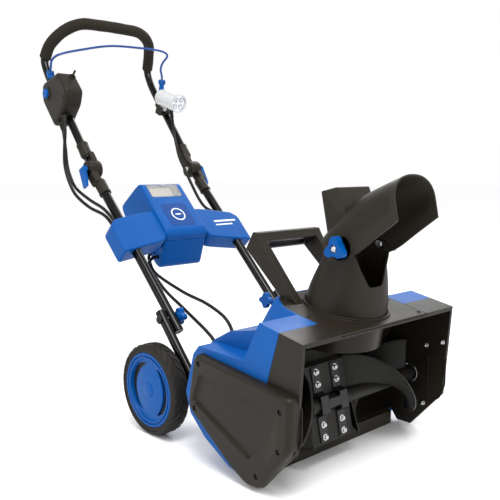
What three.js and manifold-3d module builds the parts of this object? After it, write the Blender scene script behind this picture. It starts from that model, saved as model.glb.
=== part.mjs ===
// Single stage snowblower, battery powered, in millimetres.
// X runs across the machine, Y from its open front to its handle, Z up.
// Lengths along Y are measured from the front edge of the auger housing; the whole
// model is then shifted so that its origin lies in the middle of the scraper's foot.
import * as THREE from 'three';
import { mergeVertices } from 'three/addons/utils/BufferGeometryUtils.js';
import Module from 'manifold-3d';

const wasm = await Module();
wasm.setup();

// ---------------------------------------------------------------- driving dimensions
const GAP = 0.3; // clearance between pieces that touch
const WALL = 3.5; // moulded shell thickness
const HALF_WIDTH = 245.5; // outer face of the housing's side walls
const SKIN_X = 241.5; // inner face of the outer skin that covers the side walls
const INNER_X = SKIN_X - WALL; // inner face of the side walls
const DECK_Z = 298; // deck height at the front edge
const DECK_SLOPE = 0.194; // the deck rises to the rear
const DECK_TILT = Math.atan(DECK_SLOPE);
const AUGER_Y = 102;
const AUGER_Z = 126;
const AUGER_R = 82;
const SCOOP_R = 100; // outer radius of the scoop around the auger
const SCRAPER_Y = 142; // middle of the scraper's foot, which is the origin
const SCRAPER_HALF = 215;
const SHAFT_R = 10;
const CHUTE_Y = 104.5; // the chute's axis crosses the deck here
const CHUTE_R = 86; // chute radius at its base
const PIVOT = [66, 447]; // deflector pivot (y, z)
const AXLE = [469.9, 104.1]; // wheel axle (y, z)
const WHEEL_R = 104.1;
const WHEEL_OUT = 249.7; // outer face of the wheels
const WHEEL_WIDE = 44;
const AXLE_R = 8;
const TUBE_R = 12; // lower handle tubes
const TUBE_WALL = 1.4;
const TUBE_X = 166; // lower handle tubes, distance from the middle
const FRAME_X = 190; // frame tubes, outside the handle tubes
const HINGE = [486, 256]; // lower fold (y, z)
const KNUCKLE = [823, 597]; // upper fold (y, z)
const HANDLE_ANGLE = Math.atan2(KNUCKLE[1] - HINGE[1], KNUCKLE[0] - HINGE[0]);
const HANDLE_LONG = Math.hypot(KNUCKLE[1] - HINGE[1], KNUCKLE[0] - HINGE[0]);
const KNUCKLE_R = 24;
const SLEEVE_R = 16;
const SLEEVE_FROM = 42; // the sleeves start this far from the upper fold
const BOLT_R = 4;
const MOTOR = [262, 152]; // motor axis (y, z)
const BELT_X = -253; // middle of the belt drive
const CABLE_R = 4.2;

// ---------------------------------------------------------------- materials
const finish = (color, roughness, metalness = 0) =>
  new THREE.MeshStandardMaterial({ color, roughness, metalness });
const BLACK = finish(0x3a372f, 0.6);
const BLUE = finish(0x0058a8, 0.42);
const TUBE_BLACK = finish(0x16150f, 0.25, 0.2);
const RUBBER = finish(0x2c2a26, 0.85);
const FOAM = finish(0x38342c, 0.9);
const STEEL = finish(0xb9bcc0, 0.35, 0.9);
const DARK_STEEL = finish(0x24231f, 0.5, 0.6);
const CLEAR = new THREE.MeshStandardMaterial({
  color: 0xd8d8d0, roughness: 0.15, transparent: true, opacity: 0.45,
});
const WHITE = finish(0xdfe1e0, 0.3);

// ---------------------------------------------------------------- solid helpers
function solid(geometry) {
  const bare = geometry.index ? geometry.toNonIndexed() : geometry.clone();
  for (const key of Object.keys(bare.attributes)) {
    if (key !== 'position') bare.deleteAttribute(key);
  }
  const merged = mergeVertices(bare, 1e-3);
  const vertProperties = new Float32Array(merged.attributes.position.array);
  const triVerts = new Uint32Array(merged.index.array);
  const body = new wasm.Manifold(new wasm.Mesh({ numProp: 3, vertProperties, triVerts }));
  if (body.volume() > 0) return body;
  const turned = triVerts.map((v, i) => triVerts[i - (i % 3) + (2 - (i % 3))]);
  return new wasm.Manifold(new wasm.Mesh({ numProp: 3, vertProperties, triVerts: turned }));
}

function geometryOf(body) {
  const mesh = body.getMesh();
  const geometry = new THREE.BufferGeometry();
  geometry.setAttribute('position', new THREE.BufferAttribute(mesh.vertProperties, 3));
  geometry.setIndex(new THREE.BufferAttribute(mesh.triVerts, 1));
  return geometry;
}

const join = (...bodies) => bodies.reduce((sum, body) => sum.add(body));
const cut = (body, ...tools) => tools.reduce((rest, tool) => rest.subtract(tool), body);

// Outline in Y and Z, carried from x0 to x1.
function slabX(outline, x0, x1) {
  const shape = new THREE.Shape(outline.map(([y, z]) => new THREE.Vector2(y, z)));
  const geometry = new THREE.ExtrudeGeometry(shape, { depth: Math.abs(x1 - x0), bevelEnabled: false });
  geometry.rotateX(Math.PI / 2).rotateZ(Math.PI / 2);
  return solid(geometry.translate(Math.min(x0, x1), 0, 0));
}

// Outline in X and Y, carried from z0 to z1.
function slabZ(outline, z0, z1) {
  const shape = new THREE.Shape(outline.map(([x, y]) => new THREE.Vector2(x, y)));
  const geometry = new THREE.ExtrudeGeometry(shape, { depth: z1 - z0, bevelEnabled: false });
  return solid(geometry.translate(0, 0, z0));
}

function block(x0, x1, y0, y1, z0, z1) {
  const geometry = new THREE.BoxGeometry(Math.abs(x1 - x0), y1 - y0, z1 - z0);
  return solid(geometry.translate((x0 + x1) / 2, (y0 + y1) / 2, (z0 + z1) / 2));
}

// Round bar between two points, tapered where a second radius is given.
function bar(from, to, radius, sides = 14, endRadius = radius) {
  const a = new THREE.Vector3(...from);
  const b = new THREE.Vector3(...to);
  const along = b.clone().sub(a);
  const geometry = new THREE.CylinderGeometry(endRadius, radius, along.length(), sides);
  const turn = new THREE.Quaternion().setFromUnitVectors(new THREE.Vector3(0, 1, 0), along.normalize());
  geometry.applyQuaternion(turn);
  const middle = a.add(b).multiplyScalar(0.5);
  return solid(geometry.translate(middle.x, middle.y, middle.z));
}

const discX = (y, z, radius, x0, x1, sides = 24) => bar([x0, y, z], [x1, y, z], radius, sides);

// Round section carried along a smooth curve through the points.
function sweep(points, radius, sides, steps, tension = 0.5) {
  const path = new THREE.CatmullRomCurve3(
    points.map((p) => new THREE.Vector3(...p)), false, 'catmullrom', tension);
  const corners = [];
  for (let i = 0; i < sides; i += 1) {
    const turn = (i / sides) * 2 * Math.PI;
    corners.push(new THREE.Vector2(radius * Math.cos(turn), radius * Math.sin(turn)));
  }
  return solid(new THREE.ExtrudeGeometry(new THREE.Shape(corners), {
    steps, extrudePath: path, bevelEnabled: false,
  }));
}

// Closed solid through a row of rings that hold the same number of points.
function loft(rings) {
  const count = rings[0].length;
  const positions = rings.flat(2);
  const index = [];
  for (let r = 0; r + 1 < rings.length; r += 1) {
    for (let i = 0; i < count; i += 1) {
      const a = r * count + i;
      const b = r * count + ((i + 1) % count);
      index.push(a, b, b + count, a, b + count, a + count);
    }
  }
  const middle = (ring) => [0, 1, 2].map((k) => ring.reduce((sum, p) => sum + p[k], 0) / count);
  const first = positions.length / 3;
  positions.push(...middle(rings[0]), ...middle(rings.at(-1)));
  const last = (rings.length - 1) * count;
  for (let i = 0; i < count; i += 1) {
    const next = (i + 1) % count;
    index.push(first, next, i, first + 1, last + i, last + next);
  }
  const geometry = new THREE.BufferGeometry();
  geometry.setAttribute('position', new THREE.Float32BufferAttribute(positions, 3));
  geometry.setIndex(index);
  return solid(geometry);
}

// Ring of revolution about an axis along X, from an outline in radius and x.
function latheX(outline, y, z, sides) {
  const points = outline.map(([radius, x]) => new THREE.Vector2(radius, x));
  points.push(points[0].clone());
  const geometry = new THREE.LatheGeometry(points, sides);
  geometry.rotateZ(-Math.PI / 2);
  return solid(geometry.translate(0, y, z));
}

function arc(y, z, radius, fromDeg, toDeg, steps) {
  const points = [];
  for (let i = 0; i <= steps; i += 1) {
    const turn = THREE.MathUtils.degToRad(fromDeg + ((toDeg - fromDeg) * i) / steps);
    points.push([y + radius * Math.cos(turn), z + radius * Math.sin(turn)]);
  }
  return points;
}

// The body swollen by a small amount along each axis, to cut clearance for it.
function swollen(body, by) {
  const shifts = [[by, 0, 0], [-by, 0, 0], [0, by, 0], [0, -by, 0], [0, 0, by], [0, 0, -by]];
  return join(...shifts.map((shift) => body.translate(shift)));
}

// The outline with each corner moved towards its middle.
function shrunk(outline, by) {
  const middle = [0, 1].map((k) => outline.reduce((sum, p) => sum + p[k], 0) / outline.length);
  return outline.map(([y, z]) => {
    const away = Math.hypot(y - middle[0], z - middle[1]);
    return [y - ((y - middle[0]) * by) / away, z - ((z - middle[1]) * by) / away];
  });
}

const ringAt = (outline, x) => outline.map(([y, z]) => [x, y, z]);
const mirrored = (outline) => [...outline, ...outline.map(([x, y]) => [-x, y]).reverse()];
const deckAt = (y) => DECK_Z + DECK_SLOPE * y;

// ---------------------------------------------------------------- the assembly
const snowblower = new THREE.Group();
snowblower.name = 'snowblower';
snowblower.position.y = -SCRAPER_Y;

function add(name, body, material, parent = snowblower) {
  const mesh = new THREE.Mesh(geometryOf(body), material);
  mesh.name = name;
  parent.add(mesh);
  return mesh;
}

// Frame on the deck, Z along the chute's axis.
const deckFrame = new THREE.Group();
deckFrame.position.set(0, CHUTE_Y, deckAt(CHUTE_Y));
deckFrame.rotation.x = DECK_TILT;
snowblower.add(deckFrame);
deckFrame.updateMatrix();
const toDeck = deckFrame.matrix.clone().invert();
const moved = (body, matrix) => body.transform([...matrix.elements]);

// Frame on the lower handle: Y along the tubes from the fold, Z out of their plane.
const handleFrame = new THREE.Group();
handleFrame.position.set(0, ...HINGE);
handleFrame.rotation.x = HANDLE_ANGLE;
snowblower.add(handleFrame);

// ---------------------------------------------------------------- cable routes
const inHandle = (x, u, n) => {
  const c = Math.cos(HANDLE_ANGLE);
  const d = Math.sin(HANDLE_ANGLE);
  return [x, HINGE[0] + u * c - n * d, HINGE[1] + u * d + n * c];
};
handleFrame.updateMatrix();
const toHandle = handleFrame.matrix.clone().invert();
const cableRoutes = {
  switch_cable_outer: [
    [-190, 922, 742], [-197, 906, 700], [-204, 900, 650], [-208, 893, 609], [-209, 874, 570], [-207, 842,
      532],
    [-199, 790, 502], [-191, 735, 485], inHandle(-189, 304, -7), inHandle(-189, 286, -7),
  ],
  switch_cable_inner: [
    [-190, 938, 725], [-193, 922, 694], [-193, 914, 650], [-194.5, 906, 612], [-195, 890, 580], [-194,
      862, 548],
    [-191, 800, 520], [-189, 738, 500], inHandle(-189, 304, 6), inHandle(-189, 286, 6),
  ],
  lamp_cable: [
    [147, 897.6, 770.6], [150, 899, 760], [152, 897, 740], [150, 888, 705], [144, 868, 665], [137, 845,
      630],
    [133, 815, 596], [138, 788, 550], [145, 766, 512], [142, 735, 490], inHandle(140, 306, 6),
      inHandle(140, 286, 6),
  ],
  motor_cable_upper: [
    [-62, 694, 384], [-71, 694.5, 383.5], [-80, 697, 374], [-84, 688, 357], [-90, 650, 331], [-97, 532,
      302], [-106, 436, 290],
    [-116, 368, 276], [-126, 333, 265], [-134, 311, 251], [-138, 300, 236], [-139, 294, 222],
  ],
  motor_cable_lower: [
    [-62, 676, 372], [-80, 679, 370], [-100, 667, 362], [-112, 648, 350], [-117, 580, 304], [-122, 500,
      271],
    [-135, 433, 252], [-150, 380, 241], [-162, 343, 232], [-167, 325, 221], [-168, 314, 206],
  ],
};

// Bore around a cable's end, one step from the given point of its route.
function cableBore(name, index, step) {
  const route = cableRoutes[name];
  const here = route.at(index);
  const near = route.at(index + step);
  const shift = (share) => here.map((v, k) => v + (v - near[k]) * share);
  return bar(shift(-1.3), shift(0.6), CABLE_R + 2.8, 10);
}

// ---------------------------------------------------------------- auger housing and deck
const scoopEnd = -THREE.MathUtils.radToDeg(Math.acos((SCRAPER_Y - AUGER_Y) / SCOOP_R));
const scoopStart = 30.6; // the back wall leaves the scoop here, as its tangent

function tangentFoot(radius) {
  return arc(AUGER_Y, AUGER_Z, radius, scoopStart, scoopStart, 1)[0];
}

// Where the sloping back wall meets the deck, lowered by drop.
function backTop(radius, drop) {
  const [y, z] = tangentFoot(radius);
  const turn = THREE.MathUtils.degToRad(scoopStart);
  const run = (deckAt(y) - drop - z) / (Math.cos(turn) + DECK_SLOPE * Math.sin(turn));
  return [y - run * Math.sin(turn), z + run * Math.cos(turn)];
}

const DUCT_R = 81;
const DECK_THICK = 4;
const STRIP_Y = 58; // rear edge of the bare front strip; the cowl covers the deck behind it
const SKIN_DROP = 3.3; // how far the deck lies below the cowl's top there

// Outline of the deck plate in the deck's frame, grown all round and open to the front where it is grown.
const deckPlate = (grow) => mirrored([
  [141 + grow, grow > 0 ? -60 : 0], [141 + grow, 100], [135 + grow, 151 + grow], [109 + grow, 195 + grow],
  [60, 207 + grow],
]).map(([x, y]) => [x, (y - CHUTE_Y) / Math.cos(DECK_TILT)]);
const seam = [[STRIP_Y, deckAt(STRIP_Y)], [87, 215], [100, 170], [150, 24]];
const deckStep = [[0, DECK_Z], seam[0], [STRIP_Y, seam[0][1] - SKIN_DROP]];

function housing() {
  const inner = SCOOP_R - WALL;
  const band = slabX([
    ...deckStep, backTop(SCOOP_R, SKIN_DROP), ...arc(AUGER_Y, AUGER_Z, SCOOP_R, scoopStart, scoopEnd, 18),
    ...arc(AUGER_Y, AUGER_Z, inner, scoopEnd, scoopStart, 18), backTop(inner, DECK_THICK * 2.2),
    [0, DECK_Z - DECK_THICK * 2.2],
  ], -INNER_X - 0.5, INNER_X + 0.5);
  const side = [
    ...deckStep, backTop(SCOOP_R, SKIN_DROP), ...arc(AUGER_Y, AUGER_Z, SCOOP_R + 3, scoopStart, -48, 12),
    [134, 3], [98, 3], [15.7, 93.7],
  ];
  const front = [
    [0, DECK_Z], seam[0], seam[1], seam[2], [seam[3][0] - 16, 3], [98, 3], [15.7, 93.7],
  ];
  const walls = [-1, 1].flatMap((s) => [
    slabX(side, s * INNER_X, s * SKIN_X), slabX(front, s * (SKIN_X - 1), s * HALF_WIDTH),
  ]);
  const chimneyTop = 194;
  const foot = tangentFoot(SCOOP_R);
  const chimney = slabX([
    backTop(SCOOP_R - 2, DECK_THICK), [chimneyTop, deckAt(chimneyTop) - DECK_THICK - GAP],
    [chimneyTop, foot[1] - 8], [foot[0] - 1, foot[1]],
  ], -DUCT_R - WALL, DUCT_R + WALL);
  const flue = slabX([
    [80, 340], [chimneyTop - WALL, 345], [chimneyTop - WALL, foot[1] + 6], [170, 150], [80, 290],
  ], -DUCT_R, DUCT_R);
  const ductDrop = 84;
  const duct = moved(cut(bar([0, 0, -ductDrop], [0, 0, -DECK_THICK - GAP], DUCT_R + WALL, 36),
    block(-200, 200, 4, 200, -200, 50)), deckFrame.matrix);
  const ductBore = moved(bar([0, 0, -ductDrop - 40], [0, 0, 30], DUCT_R, 36), deckFrame.matrix);
  const trim = block(-200, 200, -100, 400, 0, 236);
  const pocket = moved(slabZ(deckPlate(GAP), -DECK_THICK - GAP, 30), deckFrame.matrix);
  const bearingHoles = [-1, 1].map((s) => discX(AUGER_Y, AUGER_Z, 21 + GAP, s * 230, s * 250));
  const shell = join(band, ...walls, chimney, cut(duct, trim));
  return cut(shell, flue, ductBore, pocket, ...bearingHoles);
}
const housingBody = housing();
add('auger_housing', housingBody, BLACK);

function chuteDeck() {
  const plate = slabZ(deckPlate(0), -DECK_THICK, 0);
  const collar = bar([0, 0, -1], [0, 0, 5], CHUTE_R + 6, 36);
  const bore = bar([0, 0, -10], [0, 0, 10], DUCT_R, 36);
  const seat = bar([0, 0, 0], [0, 0, 10], CHUTE_R + 1.5, 36);
  return cut(join(plate, collar), bore, seat);
}
add('chute_deck', chuteDeck(), BLACK, deckFrame);

// Carry handle: two leaning legs and a bar, standing on the deck plate.
function carryHandle() {
  const lean = [[257, 448], [267, 465], [281, 466], [303, 429]];
  const top = slabX([...lean, [290, 425]], -100, 100);
  const leg = [[150, deckAt(150) + GAP], ...lean, [199, deckAt(199) + GAP]];
  const legs = [-1, 1].map((s) => slabX(leg, s * 80, s * 100));
  return cut(join(top, ...legs), slabX([[230, 400], [262, 440], [272, 455], [285, 432], [250, 395]], -60,
      60));
}
add('carry_handle', carryHandle(), BLACK);

// Scraper bar under the scoop; its foot is the origin.
function scraper() {
  const outline = [
    [SCRAPER_Y - 7, 0], [SCRAPER_Y + 7, 0], [160, 34], [158, 50], [SCRAPER_Y - 7, 44],
  ];
  return cut(slabX(outline, -SCRAPER_HALF, SCRAPER_HALF),
    discX(AUGER_Y, AUGER_Z, SCOOP_R + GAP + 0.4, -300, 300, 64));
}
const scraperBody = scraper();
add('scraper_bar', scraperBody, BLACK);

// Point on a frame tube's axis, at a distance down from the fold.
const onFrameTube = (s, run) => [s * FRAME_X, HINGE[0] - run * 0.673, HINGE[1] - run * 0.74];

// ---------------------------------------------------------------- motor cowl
const HUMP_X = 195;
const cowlTop = backTop(SCOOP_R, 0);
const sideProfile = [
  ...seam, [162, 8], [196, 13], [270, 51], [317, 92], [332, 134], [306, 221], [288, 241], [154, 237],
  [cowlTop[0] + 5, cowlTop[1] + 1],
];
const humpProfile = [
  [110, 230], [118, 292], [160, 288], [250, 270], [300, 243], [340, 205], [346, 120], [313, 92], [150, 24],
];

function plateau(grow, drop) {
  const top = mirrored([[141, 96], [135, 151], [109, 195], [60, 207]]).map(([x, y]) => [
    x + Math.sign(x) * (4 - grow), y + (y > 100 ? 4 - grow : 0),
  ]);
  const flare = mirrored([[178, 92], [176, 170], [142, 226], [70, 240]]).map(([x, y]) => [
    x - Math.sign(x) * grow, y - (y > 100 ? grow : 0),
  ]);
  return loft([flare.map(([x, y]) => [x, y, 262 - drop]), top.map(([x, y]) => [x, y, deckAt(y) - drop])]);
}

function cowl() {
  const outer = join(
    slabX(sideProfile, -HALF_WIDTH, HALF_WIDTH), slabX(humpProfile, -HUMP_X, HUMP_X), plateau(0, 0),
  );
  const inner = join(
    slabX(shrunk(sideProfile, WALL * 1.4), -SKIN_X, SKIN_X),
    slabX(shrunk(humpProfile, WALL * 1.4), -HUMP_X + WALL, HUMP_X - WALL), plateau(WALL, WALL),
  );
  const reach = SCOOP_R + 4.5;
  const top = backTop(SCOOP_R + GAP, SKIN_DROP);
  const scoop = slabX([
    [0, 400], [STRIP_Y + GAP, 400], [STRIP_Y + GAP, deckAt(STRIP_Y) - SKIN_DROP + GAP],
    [top[0] + 0.6, deckAt(top[0]) - SKIN_DROP + GAP],
    ...arc(AUGER_Y, AUGER_Z, reach, scoopStart, -60, 12), [150, 3], [134, -10], [0, -10],
  ], -SKIN_X - GAP, SKIN_X + GAP);
  const chimney = slabX([[90, 400], [195, 400], [195, 150], [90, 150]], -DUCT_R - WALL - GAP,
      DUCT_R + WALL + GAP);
  const deckCut = moved(slabZ(deckPlate(GAP), -DECK_THICK - GAP, 40), deckFrame.matrix);
  const shaft = discX(...MOTOR, 12, -250, -230);
  const tubes = [-1, 1].map((s) => bar(onFrameTube(s, -20), onFrameTube(s, 240), TUBE_R + 1, 20));
  const slots = [-3, -2, -1, 0, 1, 2, 3].map((i) => block(i * 26 - 5, i * 26 + 5, 325, 360, 128, 178));
  const sides = [-1, 1].map((s) => discX(AUGER_Y, AUGER_Z, 30, s * 240, s * 250));
  const bores = ['motor_cable_upper', 'motor_cable_lower'].map((name) => cableBore(name, -2, 1));
  const shell = cut(outer, inner, scoop, chimney, deckCut, shaft, ...sides, ...tubes, ...slots, ...bores);
  return cut(shell, swollen(housingBody, GAP), swollen(scraperBody, GAP));
}

add('motor_cowl', cowl(), BLUE);

// ---------------------------------------------------------------- side covers
const coverOutline = [[8, 200], [14, 98], [92, 6], [122, 4], [170, 26], [304, 118], [281, 230]];
const COVER_X = 268;

// Belt cover: a bevelled tray over the drive on the left side, with a sunk panel.
function beltCover() {
  const middle = [150, 125];
  const scaled = (scale) => coverOutline.map((p) => p.map((v, k) => middle[k] + (v - middle[k]) * scale));
  const outer = loft([
    ringAt(coverOutline, -HALF_WIDTH - GAP), ringAt(coverOutline, -HALF_WIDTH - 9), ringAt(scaled(0.935),
        -COVER_X),
  ]);
  const hollow = loft([
    ringAt(scaled(0.965), -HALF_WIDTH + 5), ringAt(scaled(0.955), -HALF_WIDTH - 9),
    ringAt(scaled(0.9), -COVER_X + 6),
  ]);
  const panel = slabX([[260, 192], [283, 132], [117, 58], [86, 96], [78, 169]], -COVER_X - 1, -COVER_X + 4);
  return cut(outer, hollow, panel);
}
add('belt_cover', beltCover(), BLACK);

// ---------------------------------------------------------------- auger and its drive
const PADDLE_X = -56; // middle of the flat paddle
const paddleRun = 62; // half its width
const flightEnd = 228;

for (const [side, s] of [['left', -1], ['right', 1]]) {
  const ring = discX(AUGER_Y, AUGER_Z, 21, s * (INNER_X - 2), s * (HALF_WIDTH - 0.5), 20);
  const bearing = cut(ring, discX(AUGER_Y, AUGER_Z, SHAFT_R + GAP, s * 230, s * 250, 16));
  add(`auger_bearing_${side}`, bearing, STEEL);
}

add('auger_shaft', discX(AUGER_Y, AUGER_Z, SHAFT_R, BELT_X - 8, HALF_WIDTH - 1, 16), DARK_STEEL);

// Helical blade from the root radius out, turning by twist degrees along its run.
function helix(x0, x1, startDeg, twistDeg, rootRadius, steps) {
  const rings = [];
  for (let i = 0; i <= steps; i += 1) {
    const x = x0 + ((x1 - x0) * i) / steps;
    const turn = THREE.MathUtils.degToRad(startDeg + (twistDeg * i) / steps);
    const at = (radius, dx) => [x + dx, AUGER_Y + radius * Math.cos(turn),
        AUGER_Z + radius * Math.sin(turn)];
    rings.push([at(rootRadius, -1.6), at(AUGER_R, -1.6), at(AUGER_R, 1.6), at(rootRadius, 1.6)]);
  }
  return loft(rings);
}

function flight(from, twist) {
  const hub = discX(AUGER_Y, AUGER_Z, 16, from, flightEnd, 14);
  const blades = [70, 250].map((start) => helix(from + 6, flightEnd - 8, start, twist, 13, 12));
  return cut(join(hub, ...blades), discX(AUGER_Y, AUGER_Z, SHAFT_R + GAP, 0, 240, 16));
}
add('auger_flight_left', flight(paddleRun - PADDLE_X + 2, 130).mirror([1, 0, 0]), RUBBER);
add('auger_flight_right', flight(paddleRun + PADDLE_X + 2, 200), RUBBER);

// Middle paddle: two flat blades clamped to the shaft by steel straps.
const paddleLean = THREE.MathUtils.degToRad(78);
const paddleUp = [Math.cos(paddleLean), Math.sin(paddleLean)];
const paddleFront = [-paddleUp[1], paddleUp[0]];
const onPaddle = (up, front) => [
  AUGER_Y + up * paddleUp[0] + front * paddleFront[0], AUGER_Z + up * paddleUp[1] + front * paddleFront[1],
];

function paddle() {
  const blade = (up0, up1, front0, front1) => [
    onPaddle(up0, front0), onPaddle(up1, front0), onPaddle(up1, front1), onPaddle(up0, front1),
  ];
  const hub = discX(AUGER_Y, AUGER_Z, 17, PADDLE_X - paddleRun, PADDLE_X + paddleRun, 20);
  const plate = slabX(blade(-80, 80, -2, 2), PADDLE_X - paddleRun, PADDLE_X + paddleRun);
  return cut(join(hub, plate), discX(AUGER_Y, AUGER_Z, SHAFT_R + GAP, -140, 100, 16));
}
add('auger_paddle', paddle(), RUBBER);

// Two steel straps bent round the hub and joined by a cross piece.
function paddleClamp() {
  const outline = [
    [-76, 2 + GAP], [-76, 5], [-25, 5], [-18, 20.5], [18, 20.5], [25, 5], [76, 5], [76, 2 + GAP], [22,
      2 + GAP],
    [16, 17 + GAP], [-16, 17 + GAP], [-22, 2 + GAP],
  ].map(([up, front]) => onPaddle(up, front));
  const straps = [-1, 1].map((side) => slabX(outline, PADDLE_X + side * 18, PADDLE_X + side * 41));
  const bridge = slabX([[-9, 17.5], [-9, 20.5], [9, 20.5], [9, 17.5]].map((p) => onPaddle(...p)),
    PADDLE_X - 20, PADDLE_X + 20);
  return join(...straps, bridge);
}
add('paddle_clamp', paddleClamp(), DARK_STEEL);

function pulley(y, z, radius, bore) {
  const body = latheX([
    [bore, -6], [radius + 2, -6], [radius, -4.4], [radius, 4.4], [radius + 2, 6], [bore, 6],
  ], y, z, 24);
  return body.translate([BELT_X, 0, 0]);
}
const AUGER_PULLEY_R = 45;
const MOTOR_PULLEY_R = 14;
add('auger_pulley', pulley(AUGER_Y, AUGER_Z, AUGER_PULLEY_R, SHAFT_R + GAP), DARK_STEEL);
add('motor_pulley', join(pulley(...MOTOR, MOTOR_PULLEY_R, 0.01), discX(...MOTOR, 6, BELT_X, -140, 16)),
    DARK_STEEL);

// Belt: the outer outline of both pulleys less the same outline a belt's thickness in.
function belt() {
  const span = Math.hypot(MOTOR[0] - AUGER_Y, MOTOR[1] - AUGER_Z);
  const line = THREE.MathUtils.radToDeg(Math.atan2(MOTOR[1] - AUGER_Z, MOTOR[0] - AUGER_Y));
  const open = THREE.MathUtils.radToDeg(Math.acos((AUGER_PULLEY_R - MOTOR_PULLEY_R) / span));
  const loop = (extra) => [
    ...arc(AUGER_Y, AUGER_Z, AUGER_PULLEY_R + extra, line + open, line + 360 - open, 20),
    ...arc(...MOTOR, MOTOR_PULLEY_R + extra, line - open, line + open, 10),
  ];
  return cut(slabX(loop(3.6), BELT_X - 4, BELT_X + 4), slabX(loop(0.5), BELT_X - 9, BELT_X + 9));
}
add('drive_belt', belt(), RUBBER);

function motor() {
  const can = discX(...MOTOR, 38, -228, -128, 28);
  const foot = slabX([[MOTOR[0] - 62, MOTOR[1] + 24], [MOTOR[0], MOTOR[1] + 30], [MOTOR[0], MOTOR[1] - 30],
    [MOTOR[0] - 50, MOTOR[1] - 46]], -180, -140);
  const shaftBore = discX(...MOTOR, 6 + GAP, -260, -134, 16);
  return cut(join(can, foot), shaftBore, discX(AUGER_Y, AUGER_Z, SCOOP_R + 1, -300, 300, 64));
}
add('motor', motor(), DARK_STEEL);

// ---------------------------------------------------------------- chute
const CHUTE_WALL = 3;
const CHUTE_TOP = 64.5; // half width of the chute at its top
const HOOD_HALF = 68; // half width of the deflector hood

// Section of the chute at height w along its axis: round at the foot, square above.
function chuteRing(w, thin) {
  const share = THREE.MathUtils.clamp(w / 98, 0, 1);
  const mix = (a, b) => a + (b - a) * share - thin;
  const power = 2 / (2 + 1.8 * share);
  const ring = [];
  for (let i = 0; i < 28; i += 1) {
    const turn = (i / 28) * 2 * Math.PI;
    const c = Math.cos(turn);
    const d = Math.sin(turn);
    const deep = d < 0 ? mix(CHUTE_R, 54) : mix(CHUTE_R, 46);
    ring.push([
      mix(CHUTE_R, CHUTE_TOP) * Math.sign(c) * Math.abs(c) ** power,
          deep * Math.sign(d) * Math.abs(d) ** power, w,
    ]);
  }
  return ring;
}

function chute() {
  const heights = [0.6, 33, 66, 98, 156];
  const outer = loft(heights.map((w) => chuteRing(w, 0)));
  const inner = loft([-5, ...heights.slice(1, -1), 162].map((w) => chuteRing(w, CHUTE_WALL)));
  const toMachine = (body) => moved(body, deckFrame.matrix);
  const above = slabX([[-40, 420], [20, 432], [60, 455], [100, 455], [160, 440], [160, 560], [-40, 560]],
      -90, 90);
  const mouth = loft([
    [[-21, -40, 367], [21, -40, 367], [59, -40, 437], [68, -40, 470], [-68, -40, 470], [-59, -40, 437]],
    [[-21, 60, 367], [21, 60, 367], [59, 60, 437], [68, 60, 470], [-68, 60, 470], [-59, 60, 437]],
  ]);
  const pins = discX(...PIVOT, BOLT_R + GAP, -90, 90, 12);
  return cut(toMachine(cut(outer, inner)), above, mouth, pins);
}
const chuteGroup = new THREE.Group();
snowblower.add(chuteGroup);
add('chute_lower', chute(), BLACK, chuteGroup);

// Deflector hood: an arched channel from the pivot to the mouth.
const hoodStations = [
  [[95, 418], [126, 476]], [[62, 424], [88, 518]], [[24, 441], [45, 551]],
  [[-20, 474], [-2, 573]], [[-66, 508], [-49, 592]],
];

function archRing([low, top], halfWide, thin, below) {
  const tall = Math.hypot(top[0] - low[0], top[1] - low[1]);
  const at = (x, share) => {
    const h = share * (1 - thin / tall);
    return [x, low[0] + (top[0] - low[0]) * h, low[1] + (top[1] - low[1]) * h];
  };
  const spring = 0.42;
  const ring = [at(halfWide - thin, below), at(halfWide - thin, spring * 0.5)];
  const power = 2 / 2.3;
  for (let i = 0; i <= 12; i += 1) {
    const turn = (i / 12) * Math.PI;
    const c = Math.cos(turn);
    ring.push(at(
      (halfWide - thin) * Math.sign(c) * Math.abs(c) ** power,
          spring + (1 - spring) * Math.sin(turn) ** power));
  }
  ring.push(at(-halfWide + thin, spring * 0.5), at(-halfWide + thin, below));
  return ring;
}

function stretched(stations, by) {
  const push = (a, b) => a.map((p, i) => [0, 1].map((k) => p[k] + (p[k] - b[i][k]) * by));
  return [push(stations[0], stations[1]), ...stations, push(stations.at(-1), stations.at(-2))];
}

function deflector() {
  const outer = loft(hoodStations.map((station) => archRing(station, HOOD_HALF, 0, 0)));
  const grip = slabX([[132, 556], [89, 566], [62, 500], [95, 478], [112, 462]], -50, 50);
  const ears = [-1, 1].map((s) => discX(...PIVOT, 26, s * (HOOD_HALF - CHUTE_WALL), s * HOOD_HALF, 28));
  const inner = loft(stretched(hoodStations, 0.4).map((station) => archRing(station, HOOD_HALF,
      CHUTE_WALL, -0.5)));
  const pocket = slabX([[180, 545], [122, 548], [95, 553], [80, 516], [100, 497], [112, 492], [180,
      500]], -46, 46);
  const pins = discX(...PIVOT, BOLT_R + GAP, -90, 90, 12);
  return cut(join(cut(join(outer, grip), inner), ...ears), pocket, pins);
}
add('deflector', deflector(), BLACK, chuteGroup);

// Outline of a hand knob with rounded lobes.
function lobes(y, z, count, radius, depth, startDeg) {
  const outline = [];
  for (let i = 0; i < count * 8; i += 1) {
    const turn = (i / (count * 8)) * 2 * Math.PI;
    const reach = radius - depth * (0.5 - 0.5 * Math.cos(count * turn));
    const facing = turn + THREE.MathUtils.degToRad(startDeg);
    outline.push([y + reach * Math.cos(facing), z + reach * Math.sin(facing)]);
  }
  return outline;
}

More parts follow.
